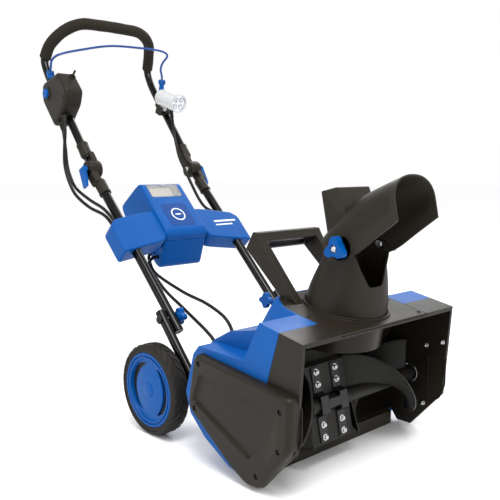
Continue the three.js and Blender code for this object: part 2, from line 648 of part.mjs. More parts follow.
const KNOB_IN = HOOD_HALF + GAP;
for (const [side, s] of [['left', -1], ['right', 1]]) {
  const head = slabX(lobes(...PIVOT, 3, 25, 11, 90), s * (KNOB_IN + 6), s * (KNOB_IN + 22));
  const neck = discX(...PIVOT, 13, s * KNOB_IN, s * (KNOB_IN + 7), 20);
  const recess = discX(...PIVOT, 7.5, s * (KNOB_IN + 17), s * 100, 16);
  const bolt = discX(...PIVOT, BOLT_R, s * 56, s * (KNOB_IN + 18), 12);
  const nut = discX(...PIVOT, 6.8, s * (KNOB_IN + 16), s * (KNOB_IN + 21), 6);
  const boltHead = discX(...PIVOT, 8, s * 54, s * 59.5, 12);
  add(`deflector_knob_${side}`, join(cut(join(head, neck), recess), bolt, nut, boltHead), BLUE, chuteGroup);
}

// ---------------------------------------------------------------- wheels, axle and frame
for (const [side, s] of [['left', -1], ['right', 1]]) {
  const out = s * WHEEL_OUT;
  const inn = s * (WHEEL_OUT - WHEEL_WIDE);
  const step = (share) => inn + (out - inn) * share;
  const bead = WHEEL_R - 19;
  add(`tyre_${side}`, latheX([
    [bead, step(0.04)], [WHEEL_R - 5, step(0)], [WHEEL_R, step(0.14)], [WHEEL_R, step(0.86)],
    [WHEEL_R - 5, step(1)], [bead, step(0.96)],
  ], ...AXLE, 28), RUBBER);
  const rim = bead - GAP;
  const wheelHub = latheX([
    [AXLE_R + 0.4, step(0.1)], [18, step(0.1)], [18, step(0.6)], [rim - 6, step(0.6)], [rim - 4,
      step(0.06)],
    [rim, step(0.06)], [rim, step(0.95)], [rim - 6, step(0.95)], [rim - 9, step(0.8)], [AXLE_R + 0.4,
      step(0.84)],
  ], ...AXLE, 28);
  const cap = cut(discX(...AXLE, 17, step(0.8), out + s * 1, 20),
    discX(...AXLE, AXLE_R + 0.4, s * 200, out - s * 3, 16));
  add(`wheel_hub_${side}`, join(wheelHub, cap), BLUE);
}
add('axle', discX(...AXLE, AXLE_R, -WHEEL_OUT + 3.5, WHEEL_OUT - 3.5, 16), STEEL);

// Frame tubes run straight from inside the cowl to just past the fold.
for (const [side, s] of [['left', -1], ['right', 1]]) {
  const at = (run) => onFrameTube(s, run);
  const tube = cut(bar(at(-22), at(232), TUBE_R - 1, 14), bar(at(-30), at(240), TUBE_R - 1 - TUBE_WALL, 10),
    discX(...HINGE, BOLT_R + GAP, s * 170, s * 210, 12));
  const plate = [
    ...[at(60), at(96), at(206)].map((p) => p.slice(1)),
    [344, 96], [440, 88], [462, 86], [482, 92], [488, 106], [480, 120],
  ];
  const bracket = cut(slabX(plate, s * 177, s * 182), bar(at(0), at(240), TUBE_R - 3, 12));
  const axleHole = discX(...AXLE, AXLE_R + GAP, s * 160, s * 190, 20);
  add(`frame_tube_${side}`, cut(join(tube, bracket), axleHole), TUBE_BLACK);
}

// ---------------------------------------------------------------- lower handle
// Points here are (x, y along the tubes, z out of their plane) in the handle's frame.
const WING_TOP = 16;
const WING_DEEP = 32;
const MID_TOP = 23;
const MID_X = 67; // half width of the middle block

for (const [side, s] of [['left', -1], ['right', 1]]) {
  const low = -40;
  const high = HANDLE_LONG - SLEEVE_FROM + 1;
  const tube = cut(bar([s * TUBE_X, low, 0], [s * TUBE_X, high, 0], TUBE_R, 14),
    bar([s * TUBE_X, low - 9, 0], [s * TUBE_X, high + 9, 0], TUBE_R - TUBE_WALL, 10),
    bar([s * 140, 0, 0], [s * 200, 0, 0], BOLT_R + GAP, 12));
  add(`handle_tube_${side}`, tube, TUBE_BLACK, handleFrame);

  // Star knob on the inner side, with its bolt through both tubes.
  const knobX = TUBE_X - TUBE_R - GAP;
  const shank = bar([s * (knobX - 16), 0, 0], [s * (FRAME_X + TUBE_R + 1), 0, 0], BOLT_R, 12);
  const head = bar([s * (FRAME_X + TUBE_R - 1 + GAP), 0, 0], [s * (FRAME_X + TUBE_R + 4), 0, 0], 10, 20, 6);
  const star = solid(new THREE.ExtrudeGeometry(
    new THREE.Shape(lobes(0, 0, 4, 21, 7, 45).map((p) => new THREE.Vector2(...p))),
    { depth: 15, bevelEnabled: false }).rotateY(Math.PI / 2).translate(s > 0 ? knobX - 19 : -knobX + 4,
        0, 0));
  const neck = bar([s * (knobX - 6), 0, 0], [s * knobX, 0, 0], 11, 20);
  add(`fold_knob_${side}`, join(star, neck, shank, head), BLUE, handleFrame);
}

// Battery box: a deep tray behind the tubes and a cover in front of them.
const wingOutline = (by) => mirrored([
  [40, 242 + by], [64, 238 + by], [76, 217 + by], [97, 212 + by], [208 - by, 193 + by], [209 - by, 278 - by],
  [191 - by, 296 - by], [97, 314 - by], [60, 316 - by],
]);
const tubeTunnels = [-1, 1].map((s) => bar([s * TUBE_X, 100, 0], [s * TUBE_X, 480, 0],
    TUBE_R + GAP + 0.4, 14));

function boxCover() {
  const midSide = [[223, GAP / 2], [234, 17], [244, MID_TOP], [398, MID_TOP], [408, 15], [412, GAP / 2]];
  const midHollow = [[227.5, -1], [237, 14], [246, MID_TOP - WALL], [396, MID_TOP - WALL], [404, 13],
      [408, -1]];
  const outer = join(slabZ(wingOutline(0), GAP / 2, WING_TOP), slabX(midSide, -MID_X, MID_X));
  const inner = join(slabZ(wingOutline(WALL), -1, WING_TOP - WALL), slabX(midHollow, WALL - MID_X,
      MID_X - WALL));
  const window = block(-DOOR_X, DOOR_X, DOOR_LOW - 0.5, DOOR_HIGH, 5, 60);
  const bores = ['switch_cable_inner', 'lamp_cable'].map((name) => moved(cableBore(name, -1, -1),
      toHandle));
  return cut(outer, inner, window, ...tubeTunnels, ...bores);
}
const DOOR_X = 50;
const DOOR_LOW = 356;
const DOOR_HIGH = 400;
add('battery_cover', boxCover(), BLUE, handleFrame);

function boxTray() {
  const keel = [[223, -GAP / 2], [188, -64], [196, -76], [392, -97], [426, -86], [412, -GAP / 2]];
  const keelHollow = [[229.5, 5], [192.5, -62.5], [198.5, -72.3], [391.5, -93.2], [422, -83.4], [408, 5]];
  const outer = join(slabZ(wingOutline(0), -WING_DEEP, -GAP / 2), slabX(keel, -MID_X, MID_X));
  const hollow = join(slabZ(wingOutline(WALL), WALL - WING_DEEP, 5), slabX(keelHollow, WALL - MID_X,
      MID_X - WALL));
  const bores = [
    cableBore('switch_cable_outer', -1, -1), cableBore('motor_cable_upper', 0, 1),
        cableBore('motor_cable_lower', 0, 1),
  ].map((bore) => moved(bore, toHandle));
  return cut(outer, hollow, ...tubeTunnels, ...bores);
}
add('battery_tray', boxTray(), BLUE, handleFrame);
add('battery_pack', cut(block(-42, 42, 250, 398, -72, 10), block(-8, 8, 240, 262, -30, -10)), BLACK,
    handleFrame);

function batteryDoor() {
  const plate = block(GAP - DOOR_X, DOOR_X - GAP, DOOR_LOW + 2.5, DOOR_HIGH - GAP, MID_TOP - 3, MID_TOP);
  const hinge = bar([-44, DOOR_LOW + 2.5, MID_TOP - 2.5], [44, DOOR_LOW + 2.5, MID_TOP - 2.5], 2.2, 10);
  const lip = block(-12, 12, DOOR_HIGH - 7, DOOR_HIGH - 1, MID_TOP - 1, MID_TOP + 3);
  return join(plate, hinge, lip);
}
add('battery_door', batteryDoor(), CLEAR, handleFrame);

// ---------------------------------------------------------------- upper fold
const UPPER_ANGLE = Math.atan2(663 - KNUCKLE[1], 874 - KNUCKLE[0]);
const along = (angle, run, x) => [x, KNUCKLE[0] + run * Math.cos(angle),
    KNUCKLE[1] + run * Math.sin(angle)];

// Round boss beside the fold, an arm, and a sleeve that holds the tube's end.
function knuckle(s, angle, nearX, farX, length) {
  const boss = discX(...KNUCKLE, KNUCKLE_R, s * nearX, s * farX, 20);
  const sleeve = bar(along(angle, SLEEVE_FROM, s * TUBE_X), along(angle, SLEEVE_FROM + length,
      s * TUBE_X), SLEEVE_R, 14);
  const arm = slabX([
    along(angle + 1.2, 17, 0), along(angle + 0.28, SLEEVE_FROM + 12, 0), along(angle - 0.28,
        SLEEVE_FROM + 12, 0),
    along(angle - 1.2, 17, 0),
  ].map((p) => p.slice(1)), s * nearX, s * farX);
  const bolt = discX(...KNUCKLE, BOLT_R + GAP, s * 100, s * 250, 12);
  return { body: join(boss, sleeve, arm), bolt };
}

const upper = new THREE.Group();
snowblower.add(upper);
const upperPath = (s) => [
  along(UPPER_ANGLE, 36, s * TUBE_X), [s * 168, 874, 663], [s * 170, 962, 771], [s * 172, 1002, 816],
  [s * 173, 1037, 862], [s * 173, 1054, 905], [s * 165, 1034, 943], [s * 141, 1001, 977], [s * 98, 983,
    999],
];
const handleLoop = [...upperPath(-1), [-40, 981, 1003], [40, 981, 1003], ...upperPath(1).reverse()];

for (const [side, s] of [['left', -1], ['right', 1]]) {
  const lowAngle = HANDLE_ANGLE + Math.PI;
  const lower = knuckle(s, lowAngle, TUBE_X + GAP / 2, TUBE_X + 18, 46);
  const bolt = discX(...KNUCKLE, BOLT_R, s * (TUBE_X - 22), s * (TUBE_X + 18.6), 12);
  const head = discX(...KNUCKLE, 8, s * (TUBE_X - 18 - GAP), s * (TUBE_X - 22), 6);
  const socket = bar([s * TUBE_X, 0, 0], [s * TUBE_X, HANDLE_LONG - SLEEVE_FROM + 2, 0],
      TUBE_R + GAP + 0.4, 14);
  const lowBody = cut(moved(lower.body, toHandle), socket);
  add(`knuckle_lower_${side}`, join(lowBody, moved(join(bolt, head), toHandle)), BLACK, handleFrame);
  const high = knuckle(s, UPPER_ANGLE, TUBE_X - 18, TUBE_X - GAP / 2, 42);
  const holder = bar(along(UPPER_ANGLE, 35, s * TUBE_X), along(UPPER_ANGLE, 100, s * (TUBE_X + 1)),
      TUBE_R + 1, 14);
  add(`knuckle_upper_${side}`, cut(high.body, high.bolt, holder), BLACK, upper);
}

const UPPER_TUBE_R = 11;
const LOOP_STEPS = 36;
const tubeRun = sweep(handleLoop, UPPER_TUBE_R, 10, LOOP_STEPS);
const tubeEnds = [-1, 1].map((x) => [x * TUBE_X, ...along(UPPER_ANGLE, 20, 0).slice(1)]);
const tubeHollow = sweep([tubeEnds[0], ...handleLoop, tubeEnds[1]], UPPER_TUBE_R - TUBE_WALL - 1, 6,
    LOOP_STEPS + 2);
const tubeRoom = sweep(handleLoop, UPPER_TUBE_R + GAP + 0.2, 10, LOOP_STEPS);
add('upper_tube', cut(tubeRun, tubeHollow), TUBE_BLACK, upper);

const gripFrom = 5;
const gripRun = sweep(handleLoop.slice(gripFrom, -gripFrom), 16, 10, 22);
add('foam_grip', cut(gripRun, tubeRoom), FOAM, upper);

// Switch box: two shells closed around the left tube.
const switchOutline = [[934, 856], [1022, 831], [1025, 786], [958, 709], [900, 769], [888, 806]];
const SWITCH_OUT = -201;
const SWITCH_IN = -148;
const SWITCH_SPLIT = -174;
const BUTTON = [994, 803]; // safety button (y, z)
const BUTTON_R = 13;

function switchHalf(face, split) {
  const s = Math.sign(face - split);
  const outer = loft([
    ringAt(switchOutline, split + s * GAP / 2), ringAt(switchOutline, face - s * 4),
    ringAt(shrunk(switchOutline, 4), face),
  ]);
  const inner = loft([
    ringAt(shrunk(switchOutline, 4), split - s), ringAt(shrunk(switchOutline, 4), face - s * 5),
    ringAt(shrunk(switchOutline, 7), face - s * 3),
  ]);
  return cut(outer, inner, tubeRoom);
}
const buttonRoom = discX(...BUTTON, BUTTON_R + GAP, -210, -190, 28);
const startRooms = ['switch_cable_outer', 'switch_cable_inner'].map((name) => cableBore(name, 0, 1));
const toggleAt = [924, 845.2];
const toggleWay = [-0.74, 0.67];
const TOGGLE_X = -161;
const toggleTo = (run, x) => [x, toggleAt[0] + toggleWay[0] * run, toggleAt[1] + toggleWay[1] * run];
const toggleRoom = bar(toggleTo(-10, TOGGLE_X), toggleTo(6, TOGGLE_X), 6.9, 16);
const bailLeft = [-188, 995, 858];
const bailRight = [168, 970, 861];
add('switch_box_outer', cut(switchHalf(SWITCH_OUT, SWITCH_SPLIT), buttonRoom, ...startRooms), BLACK, upper);
add('switch_box_inner', cut(switchHalf(SWITCH_IN, SWITCH_SPLIT), toggleRoom, ...startRooms), BLACK, upper);
add('safety_button', join(discX(...BUTTON, BUTTON_R, -207, -193, 28), discX(...BUTTON, BUTTON_R - 2,
    -208.5, -193, 28)), BLUE, upper);
add('lamp_switch', join(bar(toggleTo(-6, TOGGLE_X), toggleTo(7, TOGGLE_X), 5.6, 16, 4), bar(toggleTo(5,
    TOGGLE_X), toggleTo(21, TOGGLE_X), 2.9, 12)),
  BLACK, upper);

// Bail: a bent rod above the handle, pivoting in a socket on each side.
const bailPoints = [
  bailLeft, [-187.5, 992, 876], [-186, 986, 894], [-172, 968, 908], [-110, 962, 926], [-15, 964, 947],
      [85, 960, 952],
  [140, 953, 951], [168, 950, 946], [176, 952, 936], [168, 964, 918], [165, 971, 900], [168, 970, 878],
    bailRight,
];
const bailAxis = new THREE.Vector3(...bailRight).sub(new THREE.Vector3(...bailLeft)).normalize();
const offAxis = (p, run) => [p[0] + bailAxis.x * run, p[1] + bailAxis.y * run, p[2] + bailAxis.z * run];
const bailEyes = [bailLeft, bailRight].map((p) => bar(offAxis(p, -5), offAxis(p, 5), 6, 16));
add('bail', join(sweep(bailPoints, 3.2, 6, 40), ...bailEyes), BLUE, upper);
for (const [side, p] of [['left', bailLeft], ['right', bailRight]]) {
  const post = side === 'left' ? [p[0], p[1] - 2, p[2] - 16.5] : [p[0] + 2, p[1] + 11, p[2] - 48];
  const ears = [-1, 1].map((s) => bar(offAxis(p, s * 5.4), offAxis(p, s * 8.5), 8, 12));
  const foot = bar([post[0], post[1], post[2]], [p[0], p[1], p[2] - 2], 9, 12);
  const room = bar(offAxis(p, -5.4), offAxis(p, 5.4), 9.2, 12);
  const boxTop = slabX([[800, 700], [800, 894], [934, 856.3 + GAP], [1022, 831.3 + GAP], [1100, 808]],
      -240, -100);
  const base = side === 'left' ? boxTop : tubeRoom;
  add(`bail_socket_${side}`, cut(join(...ears, foot), room, base), BLUE, upper);
}

// Headlight on a clamp on the right tube.
const LAMP_X = 147;
const lampRear = [952, 815];
const lampWay = [-0.9612, -0.2759];
const onLamp = (run, x = LAMP_X, drop = 0) => [
  x, lampRear[0] + lampWay[0] * run + drop * lampWay[1],
      lampRear[1] + lampWay[1] * run - drop * lampWay[0] * -1,
];
const LAMP_LONG = 107;
const lampPivot = [936, 779];
function lampBody() {
  const shell = join(bar(onLamp(0), onLamp(10), 20, 24, 24.5), bar(onLamp(9.9), onLamp(LAMP_LONG - 8),
      24.5, 24, 27));
  const hollow = bar(onLamp(6), onLamp(LAMP_LONG), 21.5, 24, 24);
  const lug = slabX([[lampPivot[0] - 9, lampPivot[1] - 2], [lampPivot[0] - 6, lampPivot[1] - 8],
    [lampPivot[0] + 6, lampPivot[1] - 8], [lampPivot[0] + 9, lampPivot[1] - 2], [lampPivot[0] + 9, 793],
    [lampPivot[0] - 9, 791]], LAMP_X - 5, LAMP_X + 5);
  return cut(join(shell, cut(lug, bar(onLamp(0), onLamp(LAMP_LONG), 23, 28))), hollow,
    discX(...lampPivot, BOLT_R + GAP - 1, 100, 200, 12));
}
add('lamp_body', lampBody(), WHITE, upper);
const lens = join(bar(onLamp(LAMP_LONG - 7.7), onLamp(LAMP_LONG - 2), 27.2, 24),
    bar(onLamp(LAMP_LONG - 2.01), onLamp(LAMP_LONG), 25, 24));
add('lamp_lens', lens, CLEAR, upper);

function lampClamp() {
  const middle = [975, 786];
  const way = [0.664, 0.748];
  const ring = bar([171, middle[0] - way[0] * 16, middle[1] - way[1] * 16],
    [171, middle[0] + way[0] * 16, middle[1] + way[1] * 16], 16.5, 20);
  const arm = slabX([[lampPivot[0] - 7, lampPivot[1] - 6], [lampPivot[0] + 2, lampPivot[1] + 7], [958, 786],
    [966, 768], [946, 758]], LAMP_X - 9, 172);
  const slot = discX(...lampPivot, 13, LAMP_X - 5.4, LAMP_X + 5.4, 20);
  const pin = discX(...lampPivot, 2.9, LAMP_X - 8, LAMP_X + 8, 12);
  const lampRoom = bar(onLamp(-20), onLamp(LAMP_LONG), 27.5, 24);
  return cut(join(cut(join(ring, arm), slot, lampRoom), pin), tubeRoom);
}
add('lamp_clamp', lampClamp(), BLACK, upper);

// Quick release levers on the outer side of the upper fold.
const leverWay = [-0.454, -0.891];
for (const [side, s] of [['left', -1], ['right', 1]]) {
  const x = s * (TUBE_X + 18 + 9.2);
  const across = [-leverWay[1], leverWay[0]];
  const at = (run, side2, dx = 0) => [x + s * dx, KNUCKLE[0] + leverWay[0] * run + across[0] * side2,
    KNUCKLE[1] + leverWay[1] * run + across[1] * side2];
  const cam = bar(at(0, -10), at(0, 10), 8, 20);
  const blade = loft([
    [at(2, -10, -2), at(2, 10, -2), at(2, 10, 7.5), at(2, -10, 7.5)],
    [at(30, -11, 0), at(30, 11, 0), at(30, 11, 8), at(30, -11, 8)],
    [at(50, -9, 4), at(50, 9, 4), at(50, 9, 10), at(50, -9, 10)],
  ]);
  add(`fold_lever_${side}`, join(cam, blade), BLUE, upper);
}

// ---------------------------------------------------------------- cables
for (const [name, points] of Object.entries(cableRoutes)) {
  add(name, sweep(points, CABLE_R, 8, 20), RUBBER);
}

export default snowblower;
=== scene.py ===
# Looks of a battery powered single stage snowblower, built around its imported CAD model.
# Lengths in this file are millimetres in the machine frame: X across, Y from the front edge
# of the auger housing towards the handle, Z up. here() turns them into metres in the row frame.
import math

import bmesh
import bpy
from mathutils import Euler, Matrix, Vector


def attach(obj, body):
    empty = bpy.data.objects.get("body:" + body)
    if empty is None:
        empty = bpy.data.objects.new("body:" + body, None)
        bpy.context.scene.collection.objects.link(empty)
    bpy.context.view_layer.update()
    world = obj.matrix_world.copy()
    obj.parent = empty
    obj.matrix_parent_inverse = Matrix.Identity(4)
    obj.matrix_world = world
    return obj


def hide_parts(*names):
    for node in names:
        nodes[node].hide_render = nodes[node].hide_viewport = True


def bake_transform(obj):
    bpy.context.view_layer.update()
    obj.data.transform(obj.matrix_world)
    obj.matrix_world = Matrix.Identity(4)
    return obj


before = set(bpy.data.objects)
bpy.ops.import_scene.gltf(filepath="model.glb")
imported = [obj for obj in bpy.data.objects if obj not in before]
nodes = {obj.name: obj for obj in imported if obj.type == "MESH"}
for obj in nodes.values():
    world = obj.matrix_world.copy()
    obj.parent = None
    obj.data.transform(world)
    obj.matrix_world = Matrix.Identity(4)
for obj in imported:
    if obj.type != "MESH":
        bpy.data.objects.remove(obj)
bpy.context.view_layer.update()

# ---------- driving dimensions
ORIGIN_Y = 142.0  # where the row frame's Y is zero
GAP, EDGE = 0.3, 0.8  # clearance where parts meet, usual rounding of an edge
DECK_Z, DECK_SLOPE = 298.0, 0.194  # deck plane over Y
AUGER, AUGER_R = (102.0, 126.0), 82.0
PADDLE_X, PADDLE_HALF, PADDLE_LEAN = -56, 62, math.radians(78)
CHUTE_Y, CHUTE_TOP, CHUTE_WALL = 104.5, 64.5, 3.2
HOOD_HALF = 68.0
PIVOT = (66.0, 447.0)  # tilt axis of the deflector (y, z)
COVER_FACE = -268.0
AXLE = (469.9, 104.1)
WHEEL_R, WHEEL_OUT, WHEEL_WIDE = 104.1, 249.7, 44.0
TUBE_R, TUBE_X, FRAME_X = 12.0, 166.0, 190.0
FRAME_WAY = (0.673, 0.74)  # slope of the frame tubes (y, z)
LOOP_R, GRIP_R, ROD_R, CABLE_R = 11, 15.75, 3.2, 4.2
FOLD = (486.0, 256.0)  # lower fold (y, z)
KNUCKLE = (823.0, 597.0)  # upper fold (y, z)
HANDLE_ANGLE = math.atan2(KNUCKLE[1] - FOLD[1], KNUCKLE[0] - FOLD[0])
HANDLE_LONG = math.hypot(KNUCKLE[0] - FOLD[0], KNUCKLE[1] - FOLD[1])
BEND = (874, 663)  # first bend of the upper handle (y, z)
UPPER_ANGLE = math.atan2(BEND[1] - KNUCKLE[1], BEND[0] - KNUCKLE[0])
# Battery box: half the block's width, then the wings' faces and the seam off the tubes' plane.
BLOCK_HALF, WING_TOP, WING_DEEP, BOX_SEAM = 67, 16, -32, 0.15
LAMP_REAR, LAMP_LONG = (147, 952, 815), 107
LAMP_PIVOT = (936, 779)
SWITCH_OUT, SWITCH_SEAM, SWITCH_IN = -201, -174, -148  # faces of the switch box in X
BUTTON, BUTTON_HOLE = (994, 803), 13.3


def here(x, y, z):
    """Row frame point of a machine frame point."""
    return Vector((x, y - ORIGIN_Y, z)) / 1000


def deck_at(y):
    """Height of the deck's plane."""
    return DECK_Z + DECK_SLOPE * y


def in_handle(x, u, n):
    """Point given along the lower handle's tubes (u) and out of their plane (n)."""
    c, s = math.cos(HANDLE_ANGLE), math.sin(HANDLE_ANGLE)
    return (x, FOLD[0] + u * c - n * s, FOLD[1] + u * s + n * c)


# ---------- materials
def material(name, color, rough, metal=0.0, grain=(900, 0.12), mottle=0.10, wear=0.0, coat=0.0,
             alpha=1.0, transmission=0.0, spread=0.08, shine=0.5):
    """Procedural finish: mottled colour, varied roughness, fine grain and rubbed edges."""
    mat = bpy.data.materials.new(name)
    mat.use_nodes = True
    tree = mat.node_tree
    link = tree.links.new
    shader = tree.nodes["Principled BSDF"]
    coords = tree.nodes.new("ShaderNodeTexCoord")

    def noise_node(scale, detail):
        node = tree.nodes.new("ShaderNodeTexNoise")
        node.inputs["Scale"].default_value = scale
        node.inputs["Detail"].default_value = detail
        link(coords.outputs["Object"], node.inputs["Vector"])
        return node

    def mix(kind, factor, first, second):
        node = tree.nodes.new("ShaderNodeMix")
        node.data_type = "RGBA"
        node.blend_type = kind
        for index, value in ((0, factor), (6, first), (7, second)):
            socket = node.inputs[index]
            if hasattr(value, "is_output"):
                link(value, socket)
            else:
                socket.default_value = value
        return node.outputs[2]

    broad = noise_node(9, 4)
    tones = tree.nodes.new("ShaderNodeValToRGB")
    tones.color_ramp.elements[0].position = 0.3
    tones.color_ramp.elements[1].position = 0.7
    for stop, scale in zip(tones.color_ramp.elements, (1 - mottle, 1 + mottle)):
        stop.color = (*[min(1.0, v * scale) for v in color], 1)
    link(broad.outputs["Fac"], tones.inputs["Fac"])
    surface = tones.outputs["Color"]
    if wear:
        geometry = tree.nodes.new("ShaderNodeNewGeometry")
        edge = tree.nodes.new("ShaderNodeMapRange")
        edge.inputs["From Min"].default_value = 0.53
        edge.inputs["From Max"].default_value = 0.62
        edge.inputs["To Max"].default_value = wear
        link(geometry.outputs["Pointiness"], edge.inputs["Value"])
        pale = tuple(min(1.0, v * 1.7 + 0.02) for v in color) + (1.0,)
        surface = mix("MIX", edge.outputs["Result"], surface, pale)
    link(surface, shader.inputs["Base Color"])
    fine = noise_node(grain[0], 3)
    vary = tree.nodes.new("ShaderNodeMapRange")
    vary.inputs["To Min"].default_value = max(0.02, rough - spread)
    vary.inputs["To Max"].default_value = min(1.0, rough + spread)
    link(noise_node(35, 3).outputs["Fac"], vary.inputs["Value"])
    link(vary.outputs["Result"], shader.inputs["Roughness"])
    bump = tree.nodes.new("ShaderNodeBump")
    bump.inputs["Strength"].default_value = grain[1]
    bump.inputs["Distance"].default_value = 0.0004
    link(fine.outputs["Fac"], bump.inputs["Height"])
    link(bump.outputs["Normal"], shader.inputs["Normal"])
    shader.inputs["Metallic"].default_value = metal
    shader.inputs["Specular IOR Level"].default_value = shine
    shader.inputs["Coat Weight"].default_value = coat
    shader.inputs["Coat Roughness"].default_value = 0.12
    shader.inputs["Alpha"].default_value = alpha
    shader.inputs["Transmission Weight"].default_value = transmission
    return mat


BLACK = material("moulded_black", (0.015, 0.0122, 0.0078), 0.42, grain=(1400, 0.25), mottle=0.07,
    wear=0.2, shine=0.17)
SHELL = material("housing_black", (0.012, 0.0098, 0.0068), 0.36, grain=(1100, 0.2), mottle=0.08,
    wear=0.25, shine=0.18)
BLUE = material("moulded_blue", (0.0002, 0.070, 0.285), 0.38, grain=(1500, 0.16), mottle=0.05, wear=0.12,
    shine=0.12)
BLUE_DARK = material("moulded_dark_blue", (0.0002, 0.042, 0.20), 0.4, grain=(1500, 0.16), mottle=0.05,
    shine=0.14)
GLOSS = material("tube_black", (0.0015, 0.0013, 0.0011), 0.13, grain=(500, 0.05), mottle=0.05, shine=0.2)
BLUE_ROD = material("rod_blue", (0.001, 0.040, 0.20), 0.25, grain=(700, 0.06), mottle=0.05, coat=0.2,
    shine=0.3)
TREAD = material("tyre_black", (0.014, 0.0122, 0.0098), 0.65, grain=(700, 0.5), mottle=0.18, wear=0.2,
    shine=0.2)
RUBBER = material("auger_rubber", (0.009, 0.008, 0.0065), 0.5, grain=(600, 0.35), mottle=0.15, wear=0.25,
    shine=0.2)
CABLE = material("cable_black", (0.005, 0.0045, 0.004), 0.35, grain=(1200, 0.12), mottle=0.08, shine=0.2)
FOAM = material("foam", (0.016, 0.0130, 0.0085), 0.88, grain=(420, 0.8), mottle=0.16, shine=0.2)
STEEL = material("zinc_steel", (0.55, 0.55, 0.57), 0.27, metal=1.0, grain=(900, 0.1), mottle=0.08)
DARK = material("coated_steel", (0.014, 0.0135, 0.013), 0.34, metal=0.3, grain=(700, 0.2), mottle=0.15,
    wear=0.4, shine=0.35)
WHITE = material("lamp_white", (0.62, 0.63, 0.64), 0.2, grain=(900, 0.05), mottle=0.03, coat=0.4,
    transmission=0.2)
CLEAR = material("clear_cover", (0.75, 0.74, 0.70), 0.1, grain=(300, 0.04), mottle=0.03, alpha=0.22,
    coat=0.5)
LENS = material("lamp_glass", (0.85, 0.87, 0.9), 0.05, grain=(200, 0.03), mottle=0.02, alpha=0.12,
    coat=0.5)
MARK = material("print_white", (0.78, 0.80, 0.83), 0.5, grain=(900, 0.1), mottle=0.04)
LABEL = material("pack_label", (0.30, 0.265, 0.225), 0.5, grain=(900, 0.1), mottle=0.10)
CHROME = material("reflector", (0.72, 0.74, 0.77), 0.12, metal=1.0, grain=(200, 0.03), mottle=0.03)
PACK = material("battery_black", (0.02, 0.02, 0.021), 0.5, grain=(1000, 0.3), mottle=0.1, shine=0.3)

FINISH = {name: finish for finish, names in (
    (SHELL, "auger_housing"),
    (BLACK, "chute_deck carry_handle scraper_bar belt_cover chute_lower deflector knuckle_lower_left "
            "knuckle_lower_right knuckle_upper_left knuckle_upper_right switch_box_outer switch_box_inner "
            "lamp_switch lamp_clamp"),
    (BLUE, "motor_cowl deflector_knob_left deflector_knob_right wheel_hub_left wheel_hub_right "
           "fold_knob_left fold_knob_right battery_cover battery_tray safety_button bail_socket_left "
           "bail_socket_right fold_lever_left fold_lever_right"),
    (BLUE_ROD, "bail"),
    (STEEL, "auger_bearing_left auger_bearing_right axle"),
    (DARK, "auger_shaft paddle_clamp auger_pulley motor_pulley motor"),
    (RUBBER, "auger_flight_left auger_flight_right auger_paddle drive_belt"),
    (TREAD, "tyre_left tyre_right"),
    (GLOSS, "frame_tube_left frame_tube_right handle_tube_left handle_tube_right upper_tube"),
    (PACK, "battery_pack"), (CLEAR, "battery_door lamp_lens"), (FOAM, "foam_grip"), (WHITE, "lamp_body"),
    (CABLE, "motor_cable_upper motor_cable_lower switch_cable_outer switch_cable_inner lamp_cable"),
) for name in names.split()}


def soften(piece, width, angle=28, dissolve=1.5, segments=3):
    """Rounds a piece's edges without touching its own mesh."""
    weld = piece.modifiers.new("weld", "WELD")
    weld.merge_threshold = 0.00002
    if dissolve:
        flat = piece.modifiers.new("planar", "DECIMATE")
        flat.decimate_type = "DISSOLVE"
        flat.angle_limit = math.radians(dissolve)
    edge = piece.modifiers.new("edges", "BEVEL")
    edge.width = width / 1000
    edge.segments = segments
    edge.limit_method = "ANGLE"
    edge.angle_limit = math.radians(angle)
    edge.harden_normals = False
    edge.use_clamp_overlap = True
    piece.modifiers.new("normals", "WEIGHTED_NORMAL").keep_sharp = True


# Rounding of the CAD's own nodes where it differs from EDGE.
ROUND = {
    "motor_cowl": 5.0, "carry_handle": 3.0, "battery_pack": 3.0, "fold_lever_left": 2.2,
    "fold_lever_right": 2.2, "chute_deck": 1.6, "scraper_bar": 1.5, "lamp_clamp": 1.5,
    "auger_housing": 1.3, "safety_button": 1.2,
}

for name, node in nodes.items():
    node.data.materials.clear()
    node.data.materials.append(FINISH[name])
    for polygon in node.data.polygons:
        polygon.use_smooth = True
    soften(node, ROUND.get(name, EDGE), segments=5 if ROUND.get(name, 0) > 2 else 3)


# ---------- shape helpers
def shape(points, faces):
    """Mesh object from points in millimetres, its faces turned outwards."""
    mesh = bpy.data.meshes.new("shape")
    mesh.from_pydata([here(*p) for p in points], [], faces)
    work = bmesh.new()
    work.from_mesh(mesh)
    bmesh.ops.recalc_face_normals(work, faces=work.faces)
    work.to_mesh(mesh)
    work.free()
    piece = bpy.data.objects.new("shape", mesh)
    bpy.context.scene.collection.objects.link(piece)
    return piece


def loft(rings):
    """Closed solid through rings that hold the same number of points."""
    count = len(rings[0])
    faces = [tuple(reversed(range(count))), tuple(range((len(rings) - 1) * count, len(rings) * count))]
    for r in range(len(rings) - 1):
        for i in range(count):
            a, b = r * count + i, r * count + (i + 1) % count
            faces.append((a, b, b + count, a + count))
    return shape([p for ring in rings for p in ring], faces)


def slab_x(outline, x0, x1):
    """Outline in Y and Z carried from x0 to x1."""
    return loft([[(x, y, z) for y, z in outline] for x in (x0, x1)])


def slab_z(outline, z0, z1, place):
    """Outline in the first two coordinates of place, carried from z0 to z1 in its third."""
    return loft([[place(x, y, z) for x, y in outline] for z in (z0, z1)])


def block(x0, x1, y0, y1, z0, z1, place):
    """Box with its corners moved by place."""
    return slab_z([(x0, y0), (x1, y0), (x1, y1), (x0, y1)], z0, z1, place)


